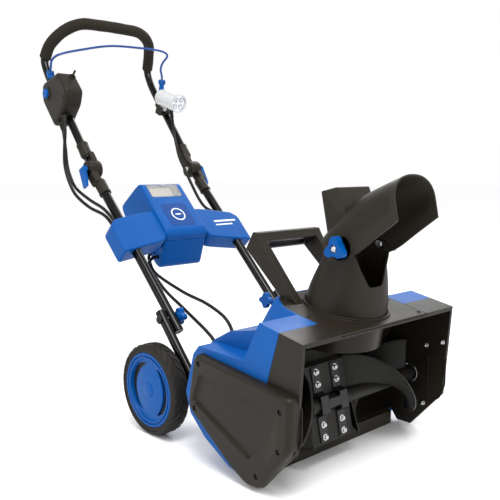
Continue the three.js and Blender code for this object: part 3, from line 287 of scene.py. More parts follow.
def turned(a, b, profile, sides=48):
    """Solid of revolution about the line from a to b: profile holds (run along it, radius)."""
    a, b = Vector(a), Vector(b)
    way = (b - a).normalized()
    side = way.orthogonal().normalized()
    other = way.cross(side)
    rings = []
    for run, radius in profile:
        centre = a + way * run
        rings.append([
            tuple(centre + (side * math.cos(t) + other * math.sin(t)) * max(radius, 0.01))
            for t in (2 * math.pi * i / sides for i in range(sides))
        ])
    return loft(rings)


def bar(a, b, radius, sides=32):
    """Round bar from a to b."""
    return turned(a, b, [(0, radius), ((Vector(b) - Vector(a)).length, radius)], sides)


def wheel_ring(outline, y, z, sides):
    """Ring about an axis along X: outline holds (radius, x) and closes on itself."""
    count = len(outline)
    points, faces = [], []
    for k in range(sides):
        t = 2 * math.pi * k / sides
        points += [(x, y + r * math.cos(t), z + r * math.sin(t)) for r, x in outline]
        for i in range(count):
            a, b = k * count + i, k * count + (i + 1) % count
            c, d = (k + 1) % sides * count + (i + 1) % count, (k + 1) % sides * count + i
            faces.append((a, b, c, d))
    return shape(points, faces)


def smooth_path(points, step=6.0):
    """Catmull-Rom curve through the points, sampled about every step millimetres."""
    p = [Vector(q) for q in points]
    p = [p[0] * 2 - p[1], *p, p[-1] * 2 - p[-2]]
    path = []
    for i in range(1, len(p) - 2):
        a, b, c, d = p[i - 1:i + 3]
        parts = max(2, round((c - b).length / step))
        for k in range(parts):
            t = k / parts
            path.append(0.5 * (2 * b + (c - a) * t + (2 * a - 5 * b + 4 * c - d) * t * t
                               + (3 * b - a - 3 * c + d) * t ** 3))
    return [*path, p[-2]]


def sweep(path, radius, sides):
    """Round section carried along a path; radius may be a function of the share of the way."""
    rings, side = [], None
    for i, point in enumerate(path):
        way = (path[min(i + 1, len(path) - 1)] - path[max(i - 1, 0)]).normalized()
        side = way.orthogonal() if side is None else side - way * side.dot(way)
        side.normalize()
        other = way.cross(side)
        r = radius(i / (len(path) - 1)) if callable(radius) else radius
        rings.append([
            tuple(point + (side * math.cos(t) + other * math.sin(t)) * r)
            for t in (2 * math.pi * k / sides for k in range(sides))
        ])
    return loft(rings)


def combine(base, operation, tools):
    """Joins tools to base, or cuts them from it; the tools are used up."""
    for tool in tools:
        step = base.modifiers.new("step", "BOOLEAN")
        step.object = tool
        step.operation = operation
        step.solver = "EXACT"
        shaped = bpy.data.meshes.new_from_object(
            base.evaluated_get(bpy.context.evaluated_depsgraph_get()))
        base.modifiers.clear()
        base.data = shaped
        bpy.data.objects.remove(tool)
    return base


def cut(base, *tools):
    """Base without the tools."""
    return combine(base, "DIFFERENCE", tools)


def join(base, *tools):
    """Base and the tools as one solid."""
    return combine(base, "UNION", tools)


def show(piece, name, body, finish, stands_for=(), edge=EDGE, angle=28, segments=3):
    """Names and finishes a piece, rounds its edges and lets it ride on its body."""
    piece.name = piece.data.name = name
    piece.data.materials.clear()
    piece.data.materials.append(finish)
    for polygon in piece.data.polygons:
        polygon.material_index = 0
        polygon.use_smooth = True
    if edge:
        soften(piece, edge, angle, 0, segments)
    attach(piece, body)
    if stands_for:
        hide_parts(*stands_for)
    return piece


def mirrored(outline):
    """Outline closed by its own mirror image across the first coordinate's zero."""
    return [*outline, *[(-x, y) for x, y in reversed(outline)]]


def lobes(y, z, count, radius, depth, start, steps=16):
    """Outline of a hand knob with rounded lobes."""
    outline = []
    for i in range(count * steps):
        t = 2 * math.pi * i / (count * steps)
        reach = radius - depth * (0.5 - 0.5 * math.cos(count * t))
        outline.append((y + reach * math.cos(t + start), z + reach * math.sin(t + start)))
    return outline


def screw(at, way, body, name, radius):
    """Pan head screw with a cross recess, standing on a face at the given point."""
    at, way = Vector(at), Vector(way).normalized()
    head = turned(at - way * 0.6, at + way * 4, [
        (0, radius), (1.6, radius), (2.6, radius * 0.86), (3.3, radius * 0.5), (3.5, 0.05)], 28)
    side = way.orthogonal().normalized()
    for arm in (side, way.cross(side)):
        wide = way.cross(arm)
        ring = [at + arm * (radius * 0.55 * i) + wide * (radius * 0.1 * j)
                for i, j in ((-1, -1), (1, -1), (1, 1), (-1, 1))]
        cut(head, loft([[tuple(p + way * d) for p in ring] for d in (1.5, 6)]))
    return show(head, name, body, DARK, edge=0.25, segments=2)


def bolt(at, way, body, name, radius):
    """Hexagon nut on its washer, with the end of its bolt."""
    at, way = Vector(at), Vector(way).normalized()
    washer = turned(at - way * 0.5, at + way * 2, [(0, radius * 1.35), (1.6, radius * 1.35)], 32)
    nut = turned(at + way, at + way * 8, [(0, radius), (4.6, radius), (5.4, radius * 0.86)], 6)
    stud = turned(at, at + way * 9, [(0, radius * 0.5), (7.2, radius * 0.5), (7.8, radius * 0.36)], 20)
    return show(join(washer, nut, stud), name, body, STEEL, edge=0.3, segments=2)


def rounded(outline, radius, steps=5):
    """Outline with its corners rounded; radius may be a list, one for each corner."""
    result = []
    for i, corner in enumerate(outline):
        before, after = Vector(outline[i - 1]), Vector(outline[(i + 1) % len(outline)])
        corner = Vector(corner)
        r = radius[i] if isinstance(radius, (list, tuple)) else radius
        if not r:
            result.append(tuple(corner))
            continue
        r = min(r, (before - corner).length * 0.45, (after - corner).length * 0.45)
        a = corner + (before - corner).normalized() * r
        b = corner + (after - corner).normalized() * r
        for k in range(steps + 1):
            t = k / steps
            result.append(tuple(a * (1 - t) ** 2 + corner * 2 * t * (1 - t) + b * t * t))
    return result


def merged(pieces):
    """One mesh object from several that needn't be cut where they meet."""
    work = bmesh.new()
    for piece in pieces:
        work.from_mesh(piece.data)
        bpy.data.objects.remove(piece)
    mesh = bpy.data.meshes.new("merged")
    work.to_mesh(mesh)
    work.free()
    result = bpy.data.objects.new("merged", mesh)
    bpy.context.scene.collection.objects.link(result)
    return result


def inset(outline, by):
    """Outline moved inwards along the normals of its corners."""
    points = [Vector(p) for p in outline]
    count = len(points)
    area = sum(points[i - 1].cross(points[i]) for i in range(count))
    turn = 1 if area > 0 else -1
    result = []
    for i, corner in enumerate(points):
        before = (corner - points[i - 1]).normalized()
        after = (points[(i + 1) % count] - corner).normalized()
        first, second = Vector((-before.y, before.x)) * turn, Vector((-after.y, after.x)) * turn
        way = (first + second).normalized()
        result.append(tuple(corner + way * by / max(0.6, way.dot(first))))
    return result


def edge_levels(start, end, radius, steps=5):
    """Levels from start to end with the inset that rounds the far edge."""
    s = 1 if end > start else -1
    levels = [(start, 0.0)]
    for k in range(steps + 1):
        t = math.pi / 2 * k / steps
        levels.append((end - s * radius * (1 - math.sin(t)), radius * (1 - math.cos(t))))
    return levels


SIDES = (("left", -1), ("right", 1))


# ---------- wheels
def in_wheel(s, share):
    """X at a share of the tyre's width, from its inner side to its outer one."""
    return s * (WHEEL_OUT - WHEEL_WIDE * (1 - share))


def tyre(s):
    """Tyre with two staggered rows of slanted lugs round it."""
    bead = WHEEL_R - 19
    outline = [
        (bead, 0.05), (bead + 3, 0.02), (bead + 8, 0.035), (bead + 10, 0.0), (95, 0.0), (99, 0.03),
        (101.4, 0.12), (102.2, 0.3), (102.4, 0.5), (102.2, 0.7), (101.4, 0.88), (99, 0.97), (95, 1.0),
        (bead + 10, 1.0), (bead + 8, 0.965), (bead + 3, 0.98), (bead, 0.95)]
    rubber = [wheel_ring([(r, in_wheel(s, share)) for r, share in outline], *AXLE, 144)]
    lugs = 26
    for row in (0, 1):
        for k in range(lugs):
            middle = 2 * math.pi * (k + 0.5 * row) / lugs
            rings = []
            for share, top in (
                    (0.0, 96.0), (0.05, 101.0), (0.12, 103.2), (0.3, 104.0), (0.42, 104.1), (0.47, 104.0)):
                across = share if row == 0 else 1 - share
                lean = middle + 0.3 * math.sin(3 * share) * s
                wide = 0.106 + 0.012 * (0.3 - share)
                rings.append([
                    (in_wheel(s, across), AXLE[0] + r * math.cos(lean + w),
                    AXLE[1] + r * math.sin(lean + w))
                    for r, w in ((94, -wide), (top, -wide * 0.8), (top, wide * 0.8), (94, wide))])
            rubber.append(loft(rings))
    return merged(rubber)


def wheel_hub(s):
    """Wheel centre: a deep stepped rim and a dished face with a crescent slot on each side."""
    rim = WHEEL_R - 19.3
    face = wheel_ring([(r, in_wheel(s, share)) for r, share in (
        (8.5, 0.1), (18, 0.1), (18, 0.58), (rim - 6, 0.58), (rim - 4, 0.06), (rim, 0.06), (rim, 0.94),
        (rim - 1.2, 0.975), (rim - 5, 0.975), (rim - 6.5, 0.9), (rim - 9, 0.9), (rim - 10, 0.96),
        (rim - 14, 0.96), (rim - 16, 0.86), (56, 0.84), (40, 0.9), (24, 0.93), (8.5, 0.93))], *AXLE, 144)
    slots = []
    for start, turn in ((-60, 140), (117, 126)):
        steps, middle = 28, 60
        arc_out, arc_in = [], []
        for k in range(steps + 1):
            t = math.radians(start + turn * k / steps)
            half = 9.5 * math.sin(math.pi * k / steps) ** 0.7
            arc_out.append((AXLE[0] + (middle + half) * math.cos(t),
                AXLE[1] + (middle + half) * math.sin(t)))
            arc_in.append((AXLE[0] + (middle - half) * math.cos(t),
                AXLE[1] + (middle - half) * math.sin(t)))
        slots.append(slab_x([*arc_out, *reversed(arc_in[1:-1])], in_wheel(s, 0.7), in_wheel(s, 1.1)))
    return cut(face, *slots)


for side, s in SIDES:
    body = f"wheel_{side}"
    show(tyre(s), f"tread_{side}", body, TREAD, [f"tyre_{side}"], edge=0.7, angle=35)
    show(wheel_hub(s), f"hub_{side}", body, BLUE, [f"wheel_hub_{side}"], edge=1.0, angle=30)
    # Black disc whose face forms the floor of the hub's blind slot pockets: painted shade, so the slots
    # look like dark holes through the hub.
    slot_shade_disc = wheel_ring([
        (r, in_wheel(s, share)) for r, share in ((20, 0.62), (74, 0.62), (74, 0.715), (20, 0.715))
    ], *AXLE, 96)
    show(slot_shade_disc, f"hub_slot_shade_{side}", body, BLACK, edge=0.5)
    cap = turned((in_wheel(s, 0.8), *AXLE), (s * (WHEEL_OUT + 1), *AXLE), [
        (0, 19), (WHEEL_WIDE * 0.2 - 4, 19), (WHEEL_WIDE * 0.2 - 1, 16.5), (WHEEL_WIDE * 0.2, 13),
        (WHEEL_WIDE * 0.2 + 1, 0.1)], 64)
    show(cap, f"hub_cap_{side}", body, BLUE, edge=0.4)

# ---------- frame and handle tubes
for side, s in SIDES:
    at = lambda run: (s * FRAME_X, FOLD[0] - run * FRAME_WAY[0], FOLD[1] - run * FRAME_WAY[1])
    plate = rounded([*[at(run)[1:] for run in (60, 96, 206)], (344, 96), (440, 88), (462, 86), (482, 92),
        (488, 106), (480, 120)], 9)
    parts = [
        turned(at(-22), at(232), [(0, 8.5), (1.5, 10.4), (4, 11), (252, 11)], 40),
        slab_x(plate, s * 177, s * 182),
        turned((s * 182, *AXLE), (s * 200, *AXLE), [(-6, 14), (14, 14), (15, 13)], 40),
    ]
    show(merged(parts), f"frame_{side}", "root", GLOSS, [f"frame_tube_{side}"], angle=32)
    tube = turned(in_handle(s * TUBE_X, -40, 0), in_handle(s * TUBE_X, HANDLE_LONG, 0), [
        (0, 11.2), (0.8, TUBE_R), (40 + HANDLE_LONG - 41, TUBE_R), (40 + HANDLE_LONG - 41, 11)], 48)
    show(tube, f"handle_{side}", "lower_handle", GLOSS, [f"handle_tube_{side}"], edge=0.5, angle=35)
    plug = turned(in_handle(s * TUBE_X, -39.9, 0), in_handle(s * TUBE_X, -20, 0),
        [(0, 6.0), (0.1, 9), (3, 9.2)], 40)
    show(plug, f"handle_plug_{side}", "lower_handle", BLACK, edge=0.3)


def along(angle, run, x):
    """Point at a distance from the upper fold, in the direction of angle."""
    return (x, KNUCKLE[0] + run * math.cos(angle), KNUCKLE[1] + run * math.sin(angle))


def upper_path(s):
    """One side of the upper handle's tube, from the fold to the cross bar."""
    return [along(UPPER_ANGLE, 36, s * TUBE_X), *[(s * x, y, z) for x, y, z in (
        (168, *BEND), (170, 962, 771), (172, 1002, 816), (173, 1037, 862), (173, 1054, 905),
        (165, 1034, 943), (141, 1001, 977), (98, 983, 999))]]


loop = [*upper_path(-1), (-40, 981, 1003), (40, 981, 1003), *reversed(upper_path(1))]
show(sweep(smooth_path(loop, 5), LOOP_R, 40), "handle_loop", "upper_handle", GLOSS, ["upper_tube"],
    edge=0)
grip_path = smooth_path(loop[5:-5], 3.2)


def grip_radius(share):
    """Slightly uneven foam, drawn in at both ends."""
    ends = min(share, 1 - share) * (len(grip_path) - 1)
    return (GRIP_R + 0.18 * math.sin(share * 61) + 0.07 * math.sin(share * 197)
            - 2.6 * max(0, 1 - ends) ** 2)


show(sweep(grip_path, grip_radius, 48), "grip", "upper_handle", FOAM, ["foam_grip"], edge=0)

bail_left, bail_right = Vector((-188, 995, 858)), Vector((168, 970, 861))
bail_way = (bail_right - bail_left).normalized()
bail_points = [
    bail_left, (-187.5, 992, 876), (-186, 986, 894), (-172, 968, 908), (-110, 962, 926),
    (-15, 964, 947), (85, 960, 952), (140, 953, 951), (168, 950, 946), (176, 952, 936),
    (168, 964, 918), (165, 971, 900), (168, 970, 878),
    bail_right]
rod = [sweep(smooth_path(bail_points, 4), ROD_R, 20)]
rod += [bar(p - bail_way * 5, p + bail_way * 5, 6, 32) for p in (bail_left, bail_right)]
show(merged(rod), "bail_rod", "bail", BLUE_ROD, ["bail"], edge=0.4, angle=40)
for side, p in (("left", bail_left), ("right", bail_right)):
    foot = p + Vector((0, -2, -14.5)) if side == "left" else p + Vector((2, 11, -46))
    tall = (p - foot).length
    parts = [turned(foot, p - Vector((0, 0, 2)), [(0, 9), (10, 8.6), (tall - 6, 7), (tall - 3, 6.2)], 32)]
    parts += [turned(p + bail_way * a, p + bail_way * b, [(0, 7.6), (0.8, 8), (2.5, 8), (3.1, 7.4)], 32)
        for a, b in ((5.4, 8.5), (-8.5, -5.4))]
    show(merged(parts), f"socket_{side}", "upper_handle", BLUE, [f"bail_socket_{side}"], edge=0.5,
        angle=35)

# ---------- cables
routes = {
    "switch_cable_outer": [
        (-190, 922, 742), (-197, 906, 700), (-204, 900, 650), (-208, 893, 609), (-209, 874, 570),
        (-207, 842, 532), (-199, 790, 502), (-191, 735, 485), in_handle(-189, 304, -7),
        in_handle(-189, 286, -7)],
    "switch_cable_inner": [
        (-190, 938, 725), (-193, 922, 694), (-193, 914, 650), (-194.5, 906, 612), (-195, 890, 580),
        (-194, 862, 548), (-191, 800, 520), (-189, 738, 500), in_handle(-189, 304, 6),
        in_handle(-189, 286, 6)],
    "lamp_cable": [
        (147, 897.6, 770.6), (150, 899, 760), (152, 897, 740), (150, 888, 705), (144, 868, 665),
        (137, 845, 630), (133, 815, 596), (138, 788, 550), (145, 766, 512), (142, 735, 490),
        in_handle(140, 306, 6), in_handle(140, 286, 6)],
    "motor_cable_upper": [
        (-62, 694, 384), (-71, 694.5, 383.5), (-80, 697, 374), (-84, 688, 357), (-90, 650, 331),
        (-97, 532, 302), (-106, 436, 290), (-116, 368, 276), (-126, 333, 265), (-134, 311, 251),
        (-138, 300, 236), (-139, 294, 222)],
    "motor_cable_lower": [
        (-62, 676, 372), (-80, 679, 370), (-100, 667, 362), (-112, 648, 350), (-117, 580, 304),
        (-122, 500, 271), (-135, 433, 252), (-150, 380, 241), (-162, 343, 232), (-167, 325, 221),
        (-168, 314, 206)],
}
for name, route in routes.items():
    if name == "lamp_cable":  # its first part is the boot that tilts with the lamp
        route = [(151, 898, 751), *route[2:]]
    lead = sweep(smooth_path(route, 4), CABLE_R, 20)
    lead.name = lead.data.name = name.replace("cable", "lead")
    lead.data.materials.append(CABLE)
    for polygon in lead.data.polygons:
        polygon.use_smooth = True
    if name.startswith("motor"):
        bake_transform(lead)
    else:
        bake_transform(lead)
    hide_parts(name)


# ---------- auger
def auger_flight(s):
    """Two rubber blades wound round a sleeve, from the paddle out to the side wall."""
    first, twist = (120, 130) if s < 0 else (8, 200)
    x0, x1 = s * (first + 6), s * 220
    parts = [wheel_ring([(10.4, s * first), (16, s * first), (16, s * 228), (10.4, s * 228)], *AUGER, 64)]
    for start in (70, 250):
        rings = []
        for i in range(73):
            share = i / 72
            x = x0 + (x1 - x0) * share
            t = math.radians(start + twist * share)
            section = (
                (13, -2.4), (40, -1.8), (AUGER_R - 7, -1.6), (AUGER_R - 6, -2.6), (AUGER_R, -2.4),
                (AUGER_R, 2.4), (AUGER_R - 6, 2.6), (AUGER_R - 7, 1.6), (40, 1.8), (13, 2.4))
            rings.append([
                (x + dx, AUGER[0] + r * math.cos(t), AUGER[1] + r * math.sin(t)) for r, dx in section])
        parts.append(loft(rings))
    return merged(parts)


for side, s in SIDES:
    show(auger_flight(s), f"flight_{side}", "auger", RUBBER, [f"auger_flight_{side}"], edge=0.5, angle=40)
show(bar((-261, *AUGER), (244.5, *AUGER), 10, 48), "shaft", "auger", DARK, ["auger_shaft"])


def on_paddle(x, up, front):
    """Point in the paddle's frame: up along its blade, front out of it."""
    c, s = math.cos(PADDLE_LEAN), math.sin(PADDLE_LEAN)
    return (x, AUGER[0] + up * c - front * s, AUGER[1] + up * s + front * c)


def paddle_slab(outline, x0, x1):
    """Outline in the paddle's frame carried from x0 to x1."""
    return loft([[on_paddle(x, up, front) for up, front in outline] for x in (x0, x1)])


paddle_ends = (PADDLE_X - PADDLE_HALF, PADDLE_X + PADDLE_HALF)
blade = paddle_slab([(-80, -2), (80, -2), (80, 2), (-80, 2)], *paddle_ends)
sleeve = bar(*[(x, *AUGER) for x in paddle_ends], 17, 56)
show(merged([blade, sleeve]), "paddle", "auger", RUBBER, ["auger_paddle"], angle=35)
strap = [(-76, 2.3), (-76, 5), (-25, 5), (-18, 20.5), (18, 20.5), (25, 5), (76, 5), (76, 2.3), (22, 2.3),
         (16, 17.3), (-16, 17.3), (-22, 2.3)]
straps = [paddle_slab(strap, PADDLE_X + s * 18, PADDLE_X + s * 41) for _, s in SIDES]
straps.append(paddle_slab([(-9, 17.5), (-9, 20.5), (9, 20.5), (9, 17.5)], PADDLE_X - 20, PADDLE_X + 20))
show(merged(straps), "paddle_straps", "auger", DARK, ["paddle_clamp"], edge=0.5, angle=30)
front_way = Vector(on_paddle(0, 0, 1)) - Vector(on_paddle(0, 0, 0))
for number, (up, x) in enumerate(((up, x) for up in (-66, -41, 41, 66) for x in (-29, 29)), 1):
    bolt(on_paddle(PADDLE_X + x, up, 5), front_way, "auger", f"paddle_bolt_{number}", radius=5)

# ---------- chute and deflector
TILT = math.atan(DECK_SLOPE)


def on_deck(x, v, w):
    """Point in the chute's own frame: v to the rear along the deck, w out of it."""
    c, s = math.cos(TILT), math.sin(TILT)
    return (x, CHUTE_Y + v * c - w * s, deck_at(CHUTE_Y) + v * s + w * c)


def chute_ring(w, thin):
    """Section of the chute at height w, round at the foot and squarer towards the top."""
    count = 96
    share = min(max(w / 98, 0), 1)
    mix = lambda a, b: a + (b - a) * share - thin
    power = 2 / (2 + 1.8 * share)
    ring = []
    for i in range(count):
        c, d = math.cos(2 * math.pi * i / count), math.sin(2 * math.pi * i / count)
        deep = mix(86, 54) if d < 0 else mix(86, 46)
        x = mix(86, CHUTE_TOP) * math.copysign(abs(c) ** power, c)
        ring.append(on_deck(x, deep * math.copysign(abs(d) ** power, d), w))
    return ring


levels = [0.6, 8, 16, 25, 33, 41, 50, 58, 66, 74, 82, 90, 98, 115, 135, 156]
spout = cut(loft([chute_ring(w, 0) for w in levels]),
            loft([chute_ring(w, CHUTE_WALL) for w in [-6, *levels[1:-1], 164]]))
crown = slab_x(
    [(-40, 420), (20, 432), (60, 455), (100, 455), (160, 440), (160, 560), (-40, 560)], -90, 90)
gate = rounded([(-21, 367), (21, 367), (59, 437), (68, 470), (-68, 470), (-59, 437)],
    [9, 9, 6, 0.5, 0.5, 6])
mouth = loft([[(x, y, z) for x, z in gate] for y in (-40, 60)])
spout = cut(spout, crown, mouth)
show(spout, "spout", "chute", BLACK, ["chute_lower"], edge=0.9, angle=30)

# Lower and upper edge of the hood's side (y, z) at stations from its mouth to its rear.
stations = [((95, 418), (126, 476)), ((62, 424), (88, 518)), ((24, 441), (45, 551)),
    ((-20, 474), (-2, 573)), ((-66, 508), (-49, 592))]


def fine_stations(extra=0.0):
    """Stations along smooth curves; extra pushes one more pair out past each end."""
    lows = smooth_path([(0, *low) for low, _ in stations], 9)
    tops = []
    curve = smooth_path([(0, *top) for _, top in stations], 2)
    for i in range(len(lows)):
        tops.append(curve[round(i * (len(curve) - 1) / (len(lows) - 1))])
    pairs = [((a.y, a.z), (b.y, b.z)) for a, b in zip(lows, tops)]
    if extra:
        push = lambda p, q: tuple(
            tuple(a[k] + (a[k] - b[k]) * extra for k in (0, 1)) for a, b in zip(p, q))
        pairs = [push(pairs[0], pairs[1]), *pairs, push(pairs[-1], pairs[-2])]
    return pairs


def arch(station, thin, below):
    """Section of the hood at a station, thin inside its outer face and open at the foot."""
    count, half = 40, HOOD_HALF
    low, top = station
    tall = math.hypot(top[0] - low[0], top[1] - low[1])

    def at(x, share):
        h = share * (1 - thin / tall)
        return (x, low[0] + (top[0] - low[0]) * h, low[1] + (top[1] - low[1]) * h)

    spring, power = 0.42, 2 / 2.3
    ring = [at(half - thin, below), at(half - thin, spring * 0.5)]
    for i in range(count + 1):
        t = math.pi * i / count
        c = math.cos(t)
        ring.append(at((half - thin) * math.copysign(abs(c) ** power, c),
            spring + (1 - spring) * math.sin(t) ** power))
    return [*ring, at(-half + thin, spring * 0.5), at(-half + thin, below)]


hood = loft([arch(st, 0, 0) for st in fine_stations()])
grip_box = slab_x(
    rounded([(132, 556), (89, 566), (62, 500), (95, 478), (112, 462)], [4, 4, 2, 2, 2]), -50, 50)
hood = join(hood, grip_box)
hood = cut(hood, loft([arch(st, CHUTE_WALL, -0.5) for st in fine_stations(4)]))
for _, s in SIDES:
    hood = join(hood, turned((s * (HOOD_HALF - 3), *PIVOT), (s * HOOD_HALF, *PIVOT),
        [(0, 26), (2.2, 26), (3, 25)], 64))
pocket = slab_x(
    [(180, 545), (122, 548), (95, 553), (80, 516), (100, 497), (112, 492), (180, 500)], -46, 46)
hood = cut(hood, pocket)
show(hood, "hood", "deflector", BLACK, ["deflector"], edge=1.0, angle=32)

for side, s in SIDES:
    body = f"deflector_knob_{side}"
    face = HOOD_HALF + GAP
    head = slab_x(lobes(*PIVOT, 3, 25, 11, math.pi / 2), s * (face + 6), s * (face + 22))
    head = join(head, bar((s * face, *PIVOT), (s * (face + 7), *PIVOT), 13, 40))
    head = cut(head, bar((s * (face + 16), *PIVOT), (s * 110, *PIVOT), 8.2, 40))
    show(head, f"tilt_knob_{side}", body, BLUE, [f"deflector_knob_{side}"], edge=2.6, angle=35,
        segments=4)
    bolt((s * (face + 15.4), *PIVOT), (s, 0, 0), body, f"tilt_nut_{side}", radius=6.4)
    inner_end = turned((s * 54, *PIVOT), (s * 68, *PIVOT),
        [(0, 7), (1.5, 8), (5.5, 8), (5.6, 4), (14, 4)], 32)
    show(inner_end, f"tilt_bolt_{side}", body, STEEL, edge=0.2)

# ---------- belt cover
cover_outline = [(8, 200), (14, 98), (92, 6), (122, 4), (170, 26), (304, 118), (281, 230)]
cover_corners = [16, 14, 16, 12, 20, 18, 14]


def cover_ring(x, scale):
    """Belt cover's outline at x, scaled about its middle."""
    outline = [(150 + (y - 150) * scale, 125 + (z - 125) * scale) for y, z in cover_outline]
    return [(x, y, z) for y, z in rounded(outline, cover_corners, 6)]


cover = loft([cover_ring(x, scale) for x, scale in (
    (-245.8, 1.0), (-256, 1.0), (-260.5, 0.99), (-264.5, 0.972), (-267, 0.952), (COVER_FACE, 0.93))])
cover = cut(cover, loft([
    cover_ring(x, scale) for x, scale in ((-240, 0.965), (-254, 0.955), (-260, 0.92))]))
panel = rounded([(260, 192), (283, 132), (117, 58), (86, 96), (78, 169)], 9)
cover = cut(cover, loft([[(x, 180 + (y - 180) * k, 130 + (z - 130) * k) for y, z in panel] for x, k in (
    (-262.3, 0.955), (-263.3, 0.98), (-270, 1.03))]))
cover_screws = ((34, 173), (38, 98), (95, 33), (262, 213), (276, 118))
cover = cut(cover, *[bar((-263.8, y, z), (-272, y, z), 5.4, 32) for y, z in cover_screws])
show(cover, "drive_cover", "root", BLACK, ["belt_cover"], edge=0.6, angle=32)
for number, (y, z) in enumerate(cover_screws, 1):
    screw((-263.7, y, z), (-1, 0, 0), "root", f"cover_screw_{number}", radius=4)

# ---------- deck screws, wall ribs and bolts
deck_up = Vector(on_deck(0, 0, 1)) - Vector(on_deck(0, 0, 0))
deck_spots = [(s * x, y) for _, s in SIDES for x, y in ((129, 12), (129, 92), (98, 183))]
for number, (x, y) in enumerate(deck_spots, 1):
    spot = on_deck(x, (y - CHUTE_Y) / math.cos(TILT), -0.2)
    screw(spot, deck_up, "root", f"deck_screw_{number}", radius=4.2)
for side, s in SIDES:
    rib = slab_x(rounded([(7, 118), (20, 84), (56, 60), (56, 182), (7, 182)], 7), s * 236.2, s * 238.2)
    rib = cut(rib, slab_x(
        rounded([(11, 120), (23, 88), (52, 68), (52, 178), (11, 178)], 5), s * 230, s * 240))
    show(rib, f"wall_rib_{side}", "root", SHELL, edge=0.5)
    for number, (y, z) in enumerate(((60, 200), (64, 62), (18, 214)), 1):
        bolt((s * 237.8, y, z), (-s, 0, 0), "root", f"wall_bolt_{side}_{number}", radius=4.6)

# ---------- star knobs of the lower fold
for side, s in SIDES:
    body = f"fold_knob_{side}"
    knob_x = TUBE_X - TUBE_R - GAP
    star = slab_x(lobes(*FOLD, 4, 21, 7, math.pi / 4 + HANDLE_ANGLE), s * (knob_x - 19), s * (knob_x - 4))
    star = join(star, bar((s * (knob_x - 6), *FOLD), (s * knob_x, *FOLD), 11, 40))
    show(star, f"star_knob_{side}", body, BLUE, [body], edge=2.4, angle=35, segments=4)
    show(bar((s * (knob_x - 15), *FOLD), (s * (FRAME_X + TUBE_R), *FOLD), 4, 24), f"fold_bolt_{side}",
        body, STEEL, edge=0.3)
    dome = turned((s * (FRAME_X + TUBE_R - 0.7), *FOLD), (s * 210, *FOLD),
        [(0, 10), (1.5, 10), (3.6, 8), (4.8, 4), (5, 0.1)], 40)
    show(dome, f"fold_bolt_head_{side}", body, BLACK, edge=0)

# ---------- battery box details
panel = slab_z(rounded([(-40, 254), (40, 254), (40, 330), (-40, 330)], 8), 22.9, 23.5, in_handle)
show(panel, "box_panel", "lower_handle", BLUE_DARK, edge=0.2)
emblem = cut(bar(in_handle(0, 292, 23.2), in_handle(0, 292, 23.9), 21, 64),
    bar(in_handle(0, 292, 22), in_handle(0, 292, 26), 17.5, 64))
show(emblem, "box_emblem", "lower_handle", MARK, edge=0)
for number, (x0, x1, u0, u1) in enumerate((
        (-9, 9, 290.2, 293.8), (112, 190, 262, 268), (112, 172, 250, 254.5)), 1):
    top = 23.4 if number == 1 else 15.9
    stripe = slab_z(rounded([(x0, u0), (x1, u0), (x1, u1), (x0, u1)], 1.2), top, top + 0.4, in_handle)
    show(stripe, f"box_stripe_{number}", "lower_handle", MARK, edge=0)
label = slab_z(rounded([(-38, 359), (30, 359), (30, 396), (-38, 396)], 3), 9.8, 12.5, in_handle)
show(label, "pack_label", "lower_handle", LABEL, edge=0.3)
label_mark = slab_z(rounded([(-14, 364), (0, 360.5), (14, 364)], 1), 12.4, 12.8, in_handle)
show(label_mark, "pack_mark", "lower_handle", PACK, edge=0)

# ---------- battery box
WING = rounded(mirrored([
    (40, 242), (64, 238), (76, 217), (97, 212), (208, 193), (209, 278), (191, 296), (97, 314),
    (60, 316)]),
    [0, 4, 8, 6, 9, 9, 9, 14, 0, 0, 14, 9, 9, 9, 6, 8, 4, 0], 5)
# Side views (along the tubes, out of their plane) of the block's outside and inside.
SIDE_SHAPES = {
    1: ([(223, 0.15), (225, 9), (230, 16.5), (237, 21.2), (246, 23), (396, 23), (404, 20), (410, 13),
         (412, 0.15)],
        [(229.5, -1), (231, 7), (236, 14), (243, 18.6), (248, 19.5), (394, 19.5), (401, 16), (405, 11),
         (407, -1)]),
    -1: ([(223, -0.15), (205, -33), (192, -57), (190, -66), (196, -74), (206, -77.5), (388, -96.5),
          (406, -94), (422, -88), (423, -74), (412, -0.15)],
         [(229.5, 5), (211, -30), (197, -56), (196, -64), (200, -70), (210, -73.5), (388, -92),
          (405, -89.5), (418, -84), (418.5, -74), (407, 5)]),
}


def half_box(front):
    """Cover (1) or tray (-1) of the battery box, its edges rounded and its inside hollow."""
    side, hollow = SIDE_SHAPES[front]
    seam = BOX_SEAM * front
    side = rounded(side, [0, *[6] * (len(side) - 2), 0], 5)
    ring = lambda x, by: [
        in_handle(x, u, seam - 3 * front if abs(n0 - seam) < 0.3 else n)
        for (u, n), (_, n0) in zip(inset(side, by), side)]
    flank = edge_levels(0, BLOCK_HALF, 6, 6)
    block_part = loft([ring(x, by) for x, by in [(-x, by) for x, by in reversed(flank)][:-1] + flank[1:]])
    face = WING_TOP if front == 1 else WING_DEEP
    wings = loft([
        [in_handle(x, u, n) for x, u in inset(WING, by)]
        for n, by in edge_levels(seam - 4 * front, face, 4.5)])
    inside = BLOCK_HALF - 3.5
    room = join(
        loft([[in_handle(x, u, n) for u, n in hollow] for x in (-inside, inside)]),
        loft([[in_handle(x, u, n) for x, u in inset(WING, 3.5)]
              for n in (face - 3.5 * front, -7 * front)]))
    tunnels = [
        bar(in_handle(s * TUBE_X, 100, 0), in_handle(s * TUBE_X, 480, 0), TUBE_R + 0.7, 40)
        for _, s in SIDES]
    trim = block(-300, 300, 100, 500, *sorted((seam - 20 * front, seam)), in_handle)
    return cut(join(block_part, wings), trim, room, *tunnels)


def cable_hole(name, index, step):
    """Bore round a cable's end; step leads from that end to the next point of its route."""
    route = [Vector(p) for p in routes[name]]
    end, near = route[index], route[index + step]
    return bar(end + (near - end) * 1.3, end + (end - near) * 0.6, 5.6, 28)


